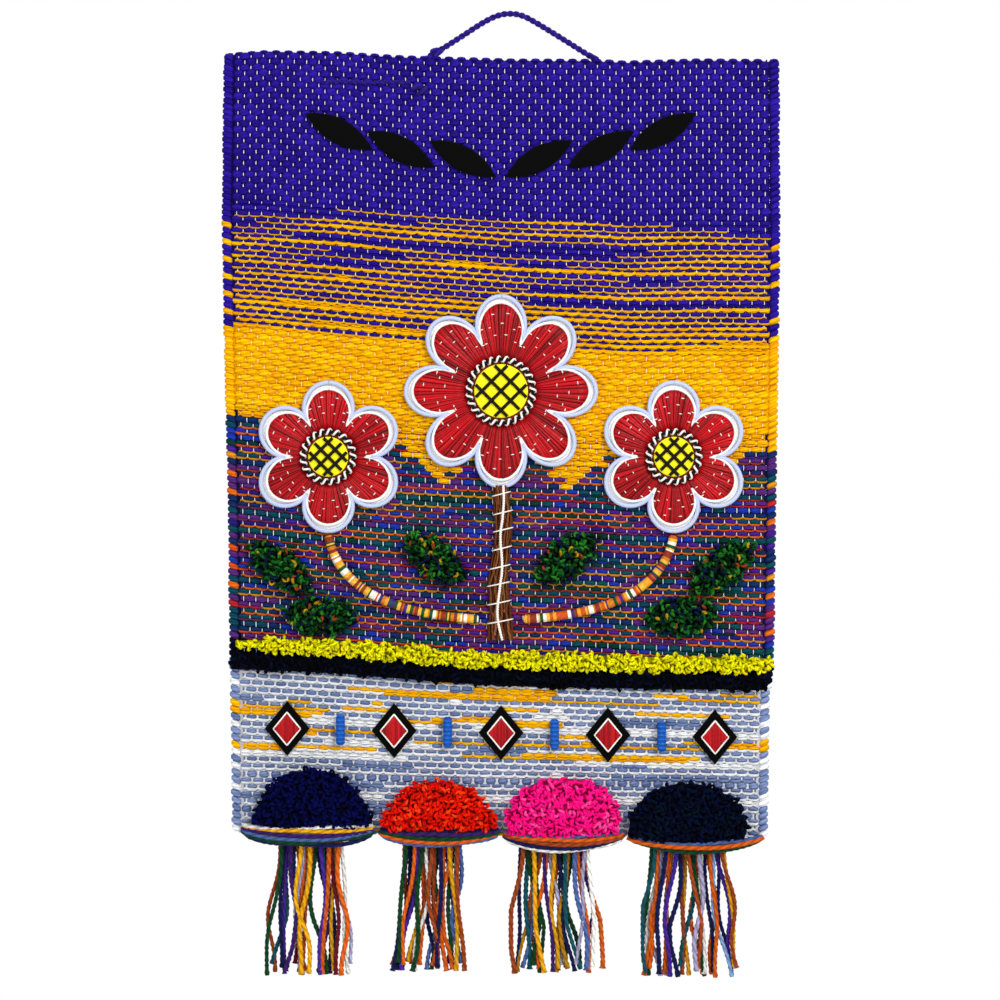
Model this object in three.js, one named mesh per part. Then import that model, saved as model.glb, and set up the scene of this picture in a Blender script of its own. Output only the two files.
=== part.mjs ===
// Woven wall hanging: a thick hand-woven panel with a turned-back top hem, hung by a twisted cord.
// Felt, satin-stitched, wrapped and looped-pile ornaments are sewn to its front, and four bundles of
// yarn with fringes finish its lower edge.
//
// Millimetres. Everything is drawn as seen from the front: x runs across, y runs up and z comes out
// from the wall. The last group turns that upright, so that +Z is up and the front looks along -Y.
// The origin is the hang point: the cord's centreline at the top of its loop.
import * as THREE from "three";

// Driving dimensions
const gap = 0.3; // clearance between a sewn-on piece and what it lies on
const feltThick = 1.4;

const cloth = {
  centreX: -6.4,
  topY: -26,
  bottomY: -476.3, // at the left corner
  bottomFall: 3, // how much lower the right corner hangs
  thick: 4,
  hemDepth: 20,
  hemOpen: 0.6, // between the two layers of the hem
  columns: 12,
  rows: 8,
  foldPoints: 6,
};

// The woven sides, measured down from the top edge.
const sideEdges = [
  { down: 0, left: -166.5, right: 154.0 },
  { down: 95, left: -168.0, right: 154.5 },
  { down: 190, left: -166.0, right: 153.0 },
  { down: 270, left: -164.0, right: 152.0 },
  { down: 350, left: -163.0, right: 151.0 },
  { down: 451, left: -161.5, right: 148.0 },
];

// The folded top edge, which rises towards the left.
const topEdge = [
  { across: -168, rise: 2.0 },
  { across: -144, rise: 4.0 },
  { across: -102, rise: 3.0 },
  { across: -65, rise: 1.0 },
  { across: 0, rise: 0.0 },
  { across: 51, rise: -0.5 },
  { across: 65, rise: -2.0 },
  { across: 109, rise: -1.0 },
  { across: 155, rise: -1.5 },
];

const cord = { radius: 1.75, sides: 8, steps: 24 };
// The hanging cord's route, end to end. Both ends meet the folded top edge.
const cordRoute = [
  [-46.2, -23.5],
  [-40.0, -20.0],
  [-30.4, -13.9],
  [-16.2, -4.8],
  [-7.4, -0.8],
  [0, 0],
  [6.4, -1.3],
  [14.0, -5.2],
  [28.3, -13.9],
  [42.9, -23.1],
  [45.0, -24.4],
];

const pileBorder = { leftY: -369, rightY: -380, halfHeight: 6.2, depth: 9 };
const napBand = { halfHeight: 5.0, depth: 4 };
const borderInset = 1.2; // the borders stop this far inside the selvedges

// Half-round pile pads above the lower edge, with the yarn bundle and fringe that belong to each.
const footings = [
  { padX: -116.0, padY: -470.5, padHalf: 36.5, padRise: 32.5, rollX: -118.0, rollHalf: 38.6,
    fringeX: -116.9, fringeTop: 40, fringeFoot: 49, fringeLean: 0.9, fringeEndY: -557.4, colour: "#0c0f3f" },
  { padX: -42.0, padY: -472.5, padHalf: 34.0, padRise: 27.8, rollX: -42.0, rollHalf: 35.1,
    fringeX: -46.4, fringeTop: 36, fringeFoot: 45, fringeLean: -2.9, fringeEndY: -555.0, colour: "#d8330f" },
  { padX: 29.6, padY: -474.6, padHalf: 33.6, padRise: 31.5, rollX: 29.9, rollHalf: 35.0,
    fringeX: 24.4, fringeTop: 43, fringeFoot: 53, fringeLean: 0.6, fringeEndY: -556.2, colour: "#e5127d" },
  { padX: 101.5, padY: -476.8, padHalf: 35.0, padRise: 31.0, rollX: 106.2, rollHalf: 39.4,
    fringeX: 102.0, fringeTop: 46, fringeFoot: 56, fringeLean: 1.2, fringeEndY: -558.5, colour: "#0a1030" },
];
const pad = { depth: 13, squareness: 2.4, endShare: 0.998, stations: 14, points: 8 };
const roll = { height: 12.4, endHeight: 3.2, depth: 9.5, endDepth: 4.3, sag: 1.6, stations: 8, points: 10 };
const fringe = {
  barHeight: 8,
  barGap: 0.5, // below the panel's lower edge
  tines: 8,
  tineShare: 0.72, // of the space that each tine has
  taper: 0.25,
  thick: 3.4,
  sway: 1.6,
  swayStep: 1.9, // radians from tine to tine
  stagger: 2.2, // between the longest and the shortest tine
  staggerStep: 2.3,
  steps: 5,
};

// Black felt leaves in a garland across the upper part.
const feltLeaf = { length: 44, halfWidth: 7.2, y: -86, curl: 0.0019, tilt: 0.5, columns: [22, 58, 94] };

// Three sewn flowers: a white felt ground, stitched petals, a striped ring and a felt eye.
const flowers = [
  { name: "middle", x: 0, y: -220, petals: 8, reach: 56, valley: 33, ring: 18.5, eye: 15.6 },
  { name: "left", x: -100, y: -258, petals: 6, reach: 44, valley: 25, ring: 14.5, eye: 11.6 },
  { name: "right", x: 100, y: -258, petals: 6, reach: 44, valley: 25, ring: 14.5, eye: 11.6 },
];
const petal = { margin: 4.6, thick: 1.8, roundness: 0.55, pointsEach: 8 };
const ringCord = { radius: 2.0, sides: 6, steps: 20 };

// The middle stem is a couched bundle, and the side stems are wrapped cords.
const stemRows = [
  { y: -277.5, sway: 0.0, half: 5.0 },
  { y: -295, sway: 1.6, half: 5.6 },
  { y: -313, sway: 0.4, half: 5.4 },
  { y: -331, sway: -1.6, half: 6.2 },
  { y: -348, sway: -0.8, half: 6.8 },
  { y: -366, sway: 0.6, half: 8.4 },
];
const stemDepth = 5;
const sideStem = { radius: 2.6, sides: 10, steps: 18, from: [100, -303.5], bend: [92, -348], to: [13, -352] };

// Green looped-pile leaves beside the stems, as distances from the middle line.
const pileLeaves = [
  { name: "inner", x: 38, y: -317, tilt: 0.62 },
  { name: "outer", x: 128, y: -322, tilt: 0.62 },
  { name: "lower", x: 104, y: -350, tilt: 0.1 },
];
const pileLeaf = { half: 23, halfWidth: 11, pointed: 2.2, endShare: 0.96, depth: 8, stations: 10, points: 8 };

// A row of felt lozenges with stitched middles, and wrapped bars between them.
const lozenge = { columns: [-124, -62, 0, 62, 124], y: -418, fall: 0.02, halfWidth: 13, halfHeight: 16 };
const lozengeStitched = 0.56; // the stitched middle's share of the felt
const wrappedBar = { columns: [-93, -31, 31, 93], radius: 2.6, length: 13 };

// Levels in front of the wall plane
const foldRadius = cloth.thick + cloth.hemOpen / 2;
const frontZ = foldRadius;
const sewnZ = frontZ + gap;

// Reads a column of a short table at a place between its rows.
function readTable(rows, key, at, column) {
  const last = rows.length - 1;
  const index = rows.findIndex((row, i) => i === last || at < rows[i + 1][key]);
  const low = rows[Math.min(index, last - 1)];
  const high = rows[Math.min(index, last - 1) + 1];
  const share = THREE.MathUtils.clamp((at - low[key]) / (high[key] - low[key]), 0, 1);
  return THREE.MathUtils.lerp(low[column], high[column], share);
}

// A closed solid through matching loops. Point k of a loop faces point (count - 1 - k), so a folded
// ribbon closes at its ends as well as an oval does.
function loftSolid(loops) {
  const count = loops[0].length;
  const faces = [];
  const quad = (a, b, c, d) => faces.push(a, b, c, a, c, d);
  for (let i = 0; i + 1 < loops.length; i++) {
    for (let k = 0; k < count; k++) {
      const next = (k + 1) % count;
      quad(i * count + k, i * count + next, (i + 1) * count + next, (i + 1) * count + k);
    }
  }
  const end = (loops.length - 1) * count;
  for (let k = 0; k + 1 < count / 2; k++) {
    quad(k, count - 1 - k, count - 2 - k, k + 1);
    quad(end + k, end + k + 1, end + count - 2 - k, end + count - 1 - k);
  }
  const geometry = new THREE.BufferGeometry().setFromPoints(loops.flat());
  geometry.setIndex(faces);
  return facingOut(geometry);
}

// Turns every face round where the loops ran the other way.
function facingOut(geometry) {
  const at = geometry.getAttribute("position");
  const faces = geometry.getIndex();
  const corner = (i) => new THREE.Vector3().fromBufferAttribute(at, faces.getX(i));
  let volume = 0;
  for (let i = 0; i < faces.count; i += 3) {
    volume += corner(i).dot(corner(i + 1).cross(corner(i + 2)));
  }
  if (volume < 0) {
    faces.array.reverse();
  }
  geometry.computeVertexNormals();
  return geometry;
}

// A half-oval section, flat at the back, for pile and couched yarn.
function halfOval(points, place) {
  return spread(points - 1, (turn) => place(-Math.cos(Math.PI * turn), Math.sin(Math.PI * turn)));
}

// Values made at even steps: round a closed loop, or from one end to the other.
function turns(count, make) {
  return Array.from({ length: count }, (unused, i) => make(i / count));
}

function spread(count, make) {
  return [...turns(count, make), make(1)];
}

const hanging = new THREE.Group();

function sew(name, geometry, colour, roughness = 0.95) {
  const material = new THREE.MeshStandardMaterial({ color: colour, roughness, metalness: 0 });
  const mesh = new THREE.Mesh(geometry, material);
  mesh.name = name;
  hanging.add(mesh);
  return mesh;
}

// A flat piece cut from felt, lying with its back at the height given.
function feltPiece(name, shape, backZ, thick, colour) {
  const geometry = new THREE.ExtrudeGeometry(shape, { depth: thick, bevelEnabled: false, curveSegments: 6 });
  const mesh = sew(name, geometry, colour);
  mesh.position.z = backZ;
  return mesh;
}

function topY(x) {
  return cloth.topY + readTable(topEdge, "across", x, "rise");
}

function bottomY(x) {
  const left = sideEdges.at(-1).left;
  const right = sideEdges.at(-1).right;
  return cloth.bottomY - (cloth.bottomFall * (x - left)) / (right - left);
}

// The woven panel: the front layer, the fold along the top and the hem turned to the back.
function wovenPanel() {
  const inner = cloth.hemOpen / 2;
  const height = cloth.topY - cloth.bottomY;
  const layer = (radius) => [
    ...turns(cloth.rows, (share) => ({ share, rise: 0, z: radius })),
    ...halfOval(cloth.foldPoints, (back, up) => ({ share: 1, rise: radius * up, z: -radius * back })),
    { share: 1, rise: -cloth.hemDepth, z: -radius },
  ];
  const section = [...layer(foldRadius), ...layer(inner).reverse()];
  return loftSolid(
    spread(cloth.columns, (across) =>
      section.map(({ share, rise, z }) => {
        const down = (1 - share) * height;
        const left = readTable(sideEdges, "down", down, "left");
        const right = readTable(sideEdges, "down", down, "right");
        const x = THREE.MathUtils.lerp(left, right, across);
        const foldY = topY(x) - foldRadius;
        return new THREE.Vector3(x, THREE.MathUtils.lerp(bottomY(x), foldY, share) + rise, z);
      }),
    ),
  );
}

function roundPoint(radius, angle) {
  return new THREE.Vector2(radius * Math.cos(angle), radius * Math.sin(angle));
}

// A round cord along a curve.
function roundCord(route, { radius, sides, steps }) {
  const section = new THREE.Shape(turns(sides, (turn) => roundPoint(radius, 2 * Math.PI * turn)));
  return new THREE.ExtrudeGeometry(section, { extrudePath: route, steps });
}

function hangingCord() {
  const points = cordRoute.map(([x, y]) => new THREE.Vector3(x, y, 0));
  return roundCord(new THREE.CatmullRomCurve3(points), cord);
}

// A border across the panel. It slopes as the weft does, and it is rounded in front.
function border(middleY, halfHeight, depth) {
  return loftSolid(
    spread(8, (across) => {
      const down = cloth.topY - middleY(across);
      const left = readTable(sideEdges, "down", down, "left") + borderInset;
      const right = readTable(sideEdges, "down", down, "right") - borderInset;
      const x = THREE.MathUtils.lerp(left, right, across);
      return halfOval(8, (up, out) => {
        const y = middleY(across) + up * halfHeight;
        return new THREE.Vector3(x, y, sewnZ + out * depth);
      });
    }),
  );
}

function pileBorderY(across) {
  return THREE.MathUtils.lerp(pileBorder.leftY, pileBorder.rightY, across);
}

function napBandY(across) {
  return pileBorderY(across) - pileBorder.halfHeight - gap - napBand.halfHeight;
}

// A half-round pad of looped pile, standing on a straight base.
function pilePad({ padX, padY, padHalf, padRise }) {
  return loftSolid(
    spread(pad.stations, (across) => {
      const side = -pad.endShare * Math.cos(Math.PI * across);
      const swell = Math.sqrt(1 - Math.abs(side) ** pad.squareness);
      const x = padX + side * padHalf;
      return halfOval(pad.points, (up, out) => {
        const y = padY + (padRise * swell * (1 + up)) / 2;
        return new THREE.Vector3(x, y, sewnZ + pad.depth * Math.sqrt(swell) * out);
      });
    }),
  );
}

// A bundle of yarn that bows under its pad and thins towards its ends.
function yarnRoll({ padY, rollX, rollHalf }) {
  return loftSolid(
    spread(roll.stations, (across) => {
      const side = THREE.MathUtils.lerp(-1, 1, across);
      const bow = 1 - side * side;
      const height = roll.endHeight + (roll.height - roll.endHeight) * Math.sqrt(bow);
      const depth = roll.endDepth + (roll.depth - roll.endDepth) * bow;
      const crestY = padY - gap - roll.sag * bow;
      return turns(roll.points, (turn) => {
        const angle = 2 * Math.PI * turn;
        const y = crestY - (height / 2) * (1 - Math.cos(angle));
        return new THREE.Vector3(rollX + side * rollHalf, y, sewnZ + (depth / 2) * (1 + Math.sin(angle)));
      });
    }),
  );
}

// A fringe as one comb: a bar along the lower edge with tines that sway as they hang.
function fringeComb({ fringeX, fringeTop, fringeFoot, fringeLean, fringeEndY }) {
  const barTop = bottomY(fringeX + fringeTop / 2) - fringe.barGap;
  const rootY = barTop - fringe.barHeight;
  const outline = [new THREE.Vector2(fringeX - fringeTop / 2, barTop)];
  for (let i = 0; i < fringe.tines; i++) {
    const sway = fringe.sway * Math.sin(fringe.swayStep * i);
    const endY = fringeEndY + (fringe.stagger * (1 + Math.sin(fringe.staggerStep * i))) / 2;
    const edge = (down, side) => {
      const pitch = THREE.MathUtils.lerp(fringeTop, fringeFoot, down) / fringe.tines;
      const centre = fringeX + (i + 0.5 - fringe.tines / 2) * pitch + fringeLean * down;
      const half = (pitch * fringe.tineShare * (1 - fringe.taper * down)) / 2;
      const x = centre + sway * Math.sin(Math.PI * down) + side * half;
      return new THREE.Vector2(x, THREE.MathUtils.lerp(rootY, endY, down));
    };
    outline.push(...spread(fringe.steps, (down) => edge(down, -1)));
    outline.push(...spread(fringe.steps, (up) => edge(1 - up, 1)));
  }
  outline.push(new THREE.Vector2(fringeX + fringeTop / 2, barTop));
  return new THREE.Shape(outline);
}

// A pointed leaf along x, between two arcs.
function leafShape(length, halfWidth) {
  const leaf = new THREE.Shape().moveTo(-length / 2, 0);
  leaf.quadraticCurveTo(0, 2 * halfWidth, length / 2, 0);
  leaf.quadraticCurveTo(0, -2 * halfWidth, -length / 2, 0);
  return leaf;
}

// A round-petalled flower cut in one piece.
function flowerShape(petals, reach, valley) {
  const outline = turns(petals * petal.pointsEach, (turn) => {
    const angle = 2 * Math.PI * turn + Math.PI / 2;
    const swell = Math.abs(Math.cos(Math.PI * petals * turn)) ** petal.roundness;
    return roundPoint(THREE.MathUtils.lerp(valley, reach, swell), angle);
  });
  return new THREE.Shape(outline);
}

function sewFlower({ name, x, y, petals, reach, valley, ring, eye }) {
  const place = (mesh) => {
    mesh.position.x = cloth.centreX + x;
    mesh.position.y = y;
  };
  const petalZ = sewnZ + feltThick + gap;
  const topZ = petalZ + petal.thick + gap;
  place(feltPiece(`flower_${name}_ground`, flowerShape(petals, reach, valley), sewnZ, feltThick, "#f2f1ec"));
  const inner = flowerShape(petals, reach - petal.margin, valley - petal.margin);
  place(feltPiece(`flower_${name}_petals`, inner, petalZ, petal.thick, "#b5121f"));
  const ringShape = new THREE.TorusGeometry(ring, ringCord.radius, ringCord.sides, ringCord.steps);
  const ringMesh = sew(`flower_${name}_ring`, ringShape, "#16140f");
  place(ringMesh);
  ringMesh.position.z = topZ + ringCord.radius;
  const disc = new THREE.Shape(turns(ringCord.steps, (turn) => roundPoint(eye, 2 * Math.PI * turn)));
  place(feltPiece(`flower_${name}_eye`, disc, topZ, feltThick, "#f4e23a"));
}

function couchedStem() {
  const loops = stemRows.map(({ y, sway, half }) =>
    halfOval(8, (side, out) => {
      const x = cloth.centreX + sway + side * half;
      return new THREE.Vector3(x, y, sewnZ + out * stemDepth);
    }),
  );
  return loftSolid(loops);
}

function wrappedStem(side) {
  const point = ([x, y]) => new THREE.Vector3(cloth.centreX + side * x, y, sewnZ + sideStem.radius);
  const [start, bend, end] = [sideStem.from, sideStem.bend, sideStem.to].map(point);
  return roundCord(new THREE.QuadraticBezierCurve3(start, bend, end), sideStem);
}

// A pointed pad of looped pile, lying along x about its own middle.
function pileLeafPad() {
  return loftSolid(
    spread(pileLeaf.stations, (along) => {
      const side = pileLeaf.endShare * (2 * along - 1);
      const swell = 1 - Math.abs(side) ** pileLeaf.pointed;
      return halfOval(pileLeaf.points, (up, out) => {
        const y = pileLeaf.halfWidth * swell * up;
        return new THREE.Vector3(side * pileLeaf.half, y, pileLeaf.depth * Math.sqrt(swell) * out);
      });
    }),
  );
}

function lozengeShape(share) {
  const halfWidth = lozenge.halfWidth * share;
  const halfHeight = lozenge.halfHeight * share;
  const corners = [[halfWidth, 0], [0, halfHeight], [-halfWidth, 0], [0, -halfHeight]];
  return new THREE.Shape(corners.map(([x, y]) => new THREE.Vector2(x, y)));
}

// The panel, its cord and its borders
sew("woven_panel", wovenPanel(), "#3a1fae");
sew("hanging_cord", hangingCord(), "#3419a0");
sew("pile_border", border(pileBorderY, pileBorder.halfHeight, pileBorder.depth), "#f0d912");
sew("nap_band", border(napBandY, napBand.halfHeight, napBand.depth), "#070a1e");

// The lower edge
footings.forEach((footing, i) => {
  const number = i + 1;
  sew(`pile_pad_${number}`, pilePad(footing), footing.colour);
  sew(`yarn_roll_${number}`, yarnRoll(footing), "#3b2a5e");
  feltPiece(`fringe_${number}`, fringeComb(footing), frontZ - gap - fringe.thick, fringe.thick, "#7a4a3c");
});

// The sewn ornaments
for (const side of [-1, 1]) {
  const hand = side < 0 ? "left" : "right";
  feltLeaf.columns.forEach((column, i) => {
    const leaf = leafShape(feltLeaf.length, feltLeaf.halfWidth);
    const mesh = feltPiece(`felt_leaf_${hand}_${i + 1}`, leaf, sewnZ, feltThick, "#0b0a0a");
    mesh.position.x = cloth.centreX + side * column;
    mesh.position.y = feltLeaf.y + feltLeaf.curl * column * column;
    mesh.rotation.z = side * feltLeaf.tilt;
  });
  sew(`side_stem_${hand}`, wrappedStem(side), "#c98a35");
  pileLeaves.forEach(({ name, x, y, tilt }) => {
    const mesh = sew(`pile_leaf_${name}_${hand}`, pileLeafPad(), "#1d4f25");
    mesh.position.set(cloth.centreX + side * x, y, sewnZ);
    mesh.rotation.z = side * tilt;
  });
}
flowers.forEach(sewFlower);
sew("middle_stem", couchedStem(), "#5a3420");

function lozengeRowY(x) {
  return lozenge.y - lozenge.fall * x;
}

lozenge.columns.forEach((x, i) => {
  const outer = feltPiece(`lozenge_${i + 1}_felt`, lozengeShape(1), sewnZ, feltThick, "#0b0a0a");
  const innerZ = sewnZ + feltThick + gap;
  const innerShape = lozengeShape(lozengeStitched);
  const inner = feltPiece(`lozenge_${i + 1}_stitched`, innerShape, innerZ, petal.thick, "#b5121f");
  for (const mesh of [outer, inner]) {
    mesh.position.x = cloth.centreX + x;
    mesh.position.y = lozengeRowY(x);
  }
});
wrappedBar.columns.forEach((x, i) => {
  const capsule = new THREE.CapsuleGeometry(wrappedBar.radius, wrappedBar.length, 3, 10);
  const bar = sew(`wrapped_bar_${i + 1}`, capsule, "#1f63b8");
  bar.position.set(cloth.centreX + x, lozengeRowY(x), sewnZ + wrappedBar.radius);
});

const wallHanging = new THREE.Group();
hanging.rotation.x = Math.PI / 2;
wallHanging.add(hanging);

export default wallHanging;
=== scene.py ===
import math

import bpy
import numpy as np
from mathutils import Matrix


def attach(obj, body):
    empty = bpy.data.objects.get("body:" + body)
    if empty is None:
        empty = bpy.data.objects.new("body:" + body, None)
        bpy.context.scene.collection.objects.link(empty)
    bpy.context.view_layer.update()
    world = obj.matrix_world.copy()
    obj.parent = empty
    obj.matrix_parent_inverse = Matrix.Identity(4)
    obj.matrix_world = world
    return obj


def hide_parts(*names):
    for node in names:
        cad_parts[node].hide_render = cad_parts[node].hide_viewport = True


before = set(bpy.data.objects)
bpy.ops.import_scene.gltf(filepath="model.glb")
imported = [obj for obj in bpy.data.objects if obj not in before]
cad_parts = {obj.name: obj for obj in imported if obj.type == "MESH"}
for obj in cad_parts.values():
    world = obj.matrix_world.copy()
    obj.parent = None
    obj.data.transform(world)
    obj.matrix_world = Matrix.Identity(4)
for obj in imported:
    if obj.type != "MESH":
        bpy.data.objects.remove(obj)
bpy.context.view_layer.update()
rng = np.random.default_rng(41)


# Lengths are millimetres as seen from the front: x across, up, and out from the wall.
def toWorld(x, up, out):
    x, up, out = np.broadcast_arrays(x, up, out)
    return np.stack([x, -out, up], -1) * 0.001


def lineToWorld(line):
    return toWorld(line[..., 0], line[..., 1], line[..., 2])


def between(low, high, share):
    return low + (high - low) * share


def linear(hexColour):
    srgb = np.array([int(hexColour[i:i + 2], 16) for i in (1, 3, 5)]) / 255
    return np.where(srgb <= 0.04045, srgb / 12.92, ((srgb + 0.055) / 1.055) ** 2.4)


def colours(*hexColours):
    return np.array([linear(h) for h in hexColours])


def unit(v):
    return v / np.maximum(np.linalg.norm(v, axis=-1, keepdims=True), 1e-12)


# Camera, level with the middle of the hanging and square to it. The frame's width is that at the cloth's front.
cameraView = {"lens": 85, "sensor": 36, "frameWide": 580, "frontOut": 5.0, "middleX": -7.0, "middleUp": -283.0}


def placeCamera(view):
    data = bpy.data.cameras.new("camera")
    data.lens = view["lens"]
    data.sensor_width = view["sensor"]
    data.clip_start = 0.01
    camera = bpy.data.objects.new("camera", data)
    bpy.context.collection.objects.link(camera)
    away = view["frameWide"] * view["lens"] / view["sensor"]
    camera.location = toWorld(view["middleX"], view["middleUp"], view["frontOut"] + away)
    camera.rotation_euler = (math.pi / 2, 0, 0)
    bpy.context.scene.camera = camera


placeCamera(cameraView)
print("camera placed")


# Shader sockets that can be used in Python expressions.
class Wire:
    def __init__(self, finish, socket):
        self.finish = finish
        self.socket = socket

    def maths(self, operation, *terms):
        return self.finish.add("ShaderNodeMath", {"operation": operation}, dict(enumerate(terms)))["Value"]

    def __add__(self, other):
        return self.maths("ADD", self, other)

    def __sub__(self, other):
        return self.maths("SUBTRACT", self, other)

    def __rsub__(self, other):
        return self.maths("SUBTRACT", other, self)

    def __mul__(self, other):
        return self.maths("MULTIPLY", self, other)

    def __truediv__(self, other):
        return self.maths("DIVIDE", self, other)

    def __pow__(self, other):
        return self.maths("POWER", self, other)

    __radd__ = __add__
    __rmul__ = __mul__

    def wave(self):
        return self.maths("SINE", self * (2 * math.pi)) * 0.5 + 0.5


class Node:
    def __init__(self, finish, node):
        self.finish = finish
        self.node = node

    def __getitem__(self, name):
        return Wire(self.finish, findSocket(self.node.outputs, name))


def findSocket(sockets, name):
    if isinstance(name, int):
        return sockets[name]
    return next((s for s in sockets if s.identifier == name), None) or sockets[name]


class Finish:
    def __init__(self, name, **fixed):
        self.material = bpy.data.materials.new(name)
        self.material.use_nodes = True
        self.tree = self.material.node_tree
        self.shader = self.tree.nodes["Principled BSDF"]
        for socket, value in fixed.items():
            self.shader.inputs[socket.replace("_", " ")].default_value = value

    def add(self, kind, settings=None, sockets=None):
        node = self.tree.nodes.new(kind)
        for name, value in (settings or {}).items():
            setattr(node, name, value)
        for name, value in (sockets or {}).items():
            self.feed(findSocket(node.inputs, name), value)
        return Node(self, node)

    def feed(self, socket, value):
        if isinstance(value, Wire):
            self.tree.links.new(value.socket, socket)
        else:
            socket.default_value = value

    def place(self):
        return self.add("ShaderNodeTexCoord")["Object"]

    # Where a point lies on its strand: X along it in millimetres, Y round it in turns.
    def onStrand(self):
        uv = self.add("ShaderNodeUVMap", {"uv_map": "yarnUv"})["UV"]
        return self.add("ShaderNodeSeparateXYZ", {}, {"Vector": uv})

    def mix(self, factor, a, b, blend="MIX"):
        made = self.add("ShaderNodeMix", {"data_type": "RGBA", "blend_type": blend},
                        {"Factor_Float": factor, "A_Color": a, "B_Color": b})
        return made["Result_Color"]

    def noise(self, vector, scale, detail=2.0, rough=0.5):
        made = self.add("ShaderNodeTexNoise", {},
                        {"Vector": vector, "Scale": scale, "Detail": detail, "Roughness": rough})
        return made["Fac"]

    def paint(self, colour, roughness=None):
        self.feed(self.shader.inputs["Base Color"], colour)
        if roughness is not None:
            self.feed(self.shader.inputs["Roughness"], roughness)

    # The dye that the mesh carries, lighter or darker by the shade.
    def dye(self, shade, roughness=None):
        carried = self.add("ShaderNodeVertexColor", {"layer_name": "dye"})["Color"]
        self.paint(self.mix(1.0, carried, shade, "MULTIPLY"), roughness)

    def bump(self, height, strength, distance):
        made = self.add("ShaderNodeBump", {}, {"Height": height, "Strength": strength, "Distance": distance})
        self.feed(self.shader.inputs["Normal"], made["Normal"])


# Spun yarn: plies that wind along the strand, and loose fibres. The dye is darker in the grooves between the
# plies: painted shade.
def yarnFinish(name, plies=3, twist=6.0, plyGrooveShade=0.35, fibre=0.35, bump=0.5, sheen=0.05):
    made = Finish(name, Roughness=0.9, Sheen_Weight=sheen, Sheen_Roughness=0.5, Specular_IOR_Level=0.05)
    where = made.onStrand()
    ply = (where["Y"] * plies + where["X"] / twist).wave()
    place = made.place()
    fuzz = made.noise(place, 1400, 3, 0.65)
    blotch = made.noise(place, 160, 2)
    # painted shade: the dye is darker in the grooves between the plies
    made.dye((1 - plyGrooveShade + plyGrooveShade * ply ** 0.6) * (1 - fibre + 2 * fibre * fuzz) * (0.88 + 0.24 * blotch))
    made.bump(ply * 0.75 + fuzz * 0.45, bump, 0.0005)
    return made.material


# Smooth embroidery thread: fine strands and a soft shine. The dye is darker between the fine strands: painted
# shade.
def threadFinish(name, rough=0.42, fibre=0.25, lines=9, shine=0.22):
    made = Finish(name, Specular_IOR_Level=shine)
    where = made.onStrand()
    strand = (where["Y"] * lines + where["X"] * 0.25).wave()
    fuzz = made.noise(made.place(), 900, 2, 0.6)
    # painted shade: the dye is darker between the fine strands
    made.dye((0.84 + 0.16 * strand) * (1 - fibre + 2 * fibre * fuzz), rough - 0.12 + 0.24 * fuzz)
    made.bump(strand * 0.6 + fuzz * 0.4, 0.35, 0.0003)
    return made.material


# Pressed felt: matted fibres and a few stray ones.
def feltFinish(name, fibre=0.3, rough=0.95):
    made = Finish(name, Sheen_Weight=0.02, Sheen_Roughness=0.5, Specular_IOR_Level=0.06)
    place = made.place()
    mat = made.noise(place, 700, 5, 0.7)
    lumps = made.noise(place, 120, 3)
    strays = made.add("ShaderNodeTexWave", {"wave_type": "BANDS"},
                      {"Vector": place, "Scale": 90, "Distortion": 34, "Detail": 3, "Detail Scale": 3})["Fac"]
    shade = (1 - fibre + 2 * fibre * mat) * (0.9 + 0.2 * lumps) * (0.94 + 0.08 * strays)
    made.dye(shade, rough - 0.08 + 0.1 * mat)
    made.bump(mat * 0.7 + strays * 0.3, 0.45, 0.0006)
    return made.material


weftYarn = yarnFinish("weftYarn", plies=4, twist=9.0, plyGrooveShade=0.38, bump=0.9, sheen=0.0)
warpThread = yarnFinish("warpThread", plies=2, twist=2.5, plyGrooveShade=0.2, bump=0.3)
pileYarn = yarnFinish("pileYarn", plies=2, twist=4.0, plyGrooveShade=0.4, bump=0.8, sheen=0.0)
fringeYarn = yarnFinish("fringeYarn", plies=2, twist=6.5, plyGrooveShade=0.5, bump=0.7)
satinThread = threadFinish("satinThread")
wrapThread = threadFinish("wrapThread", rough=0.55, lines=5, shine=0.12)
felt = feltFinish("felt")
print("finishes made")


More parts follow.
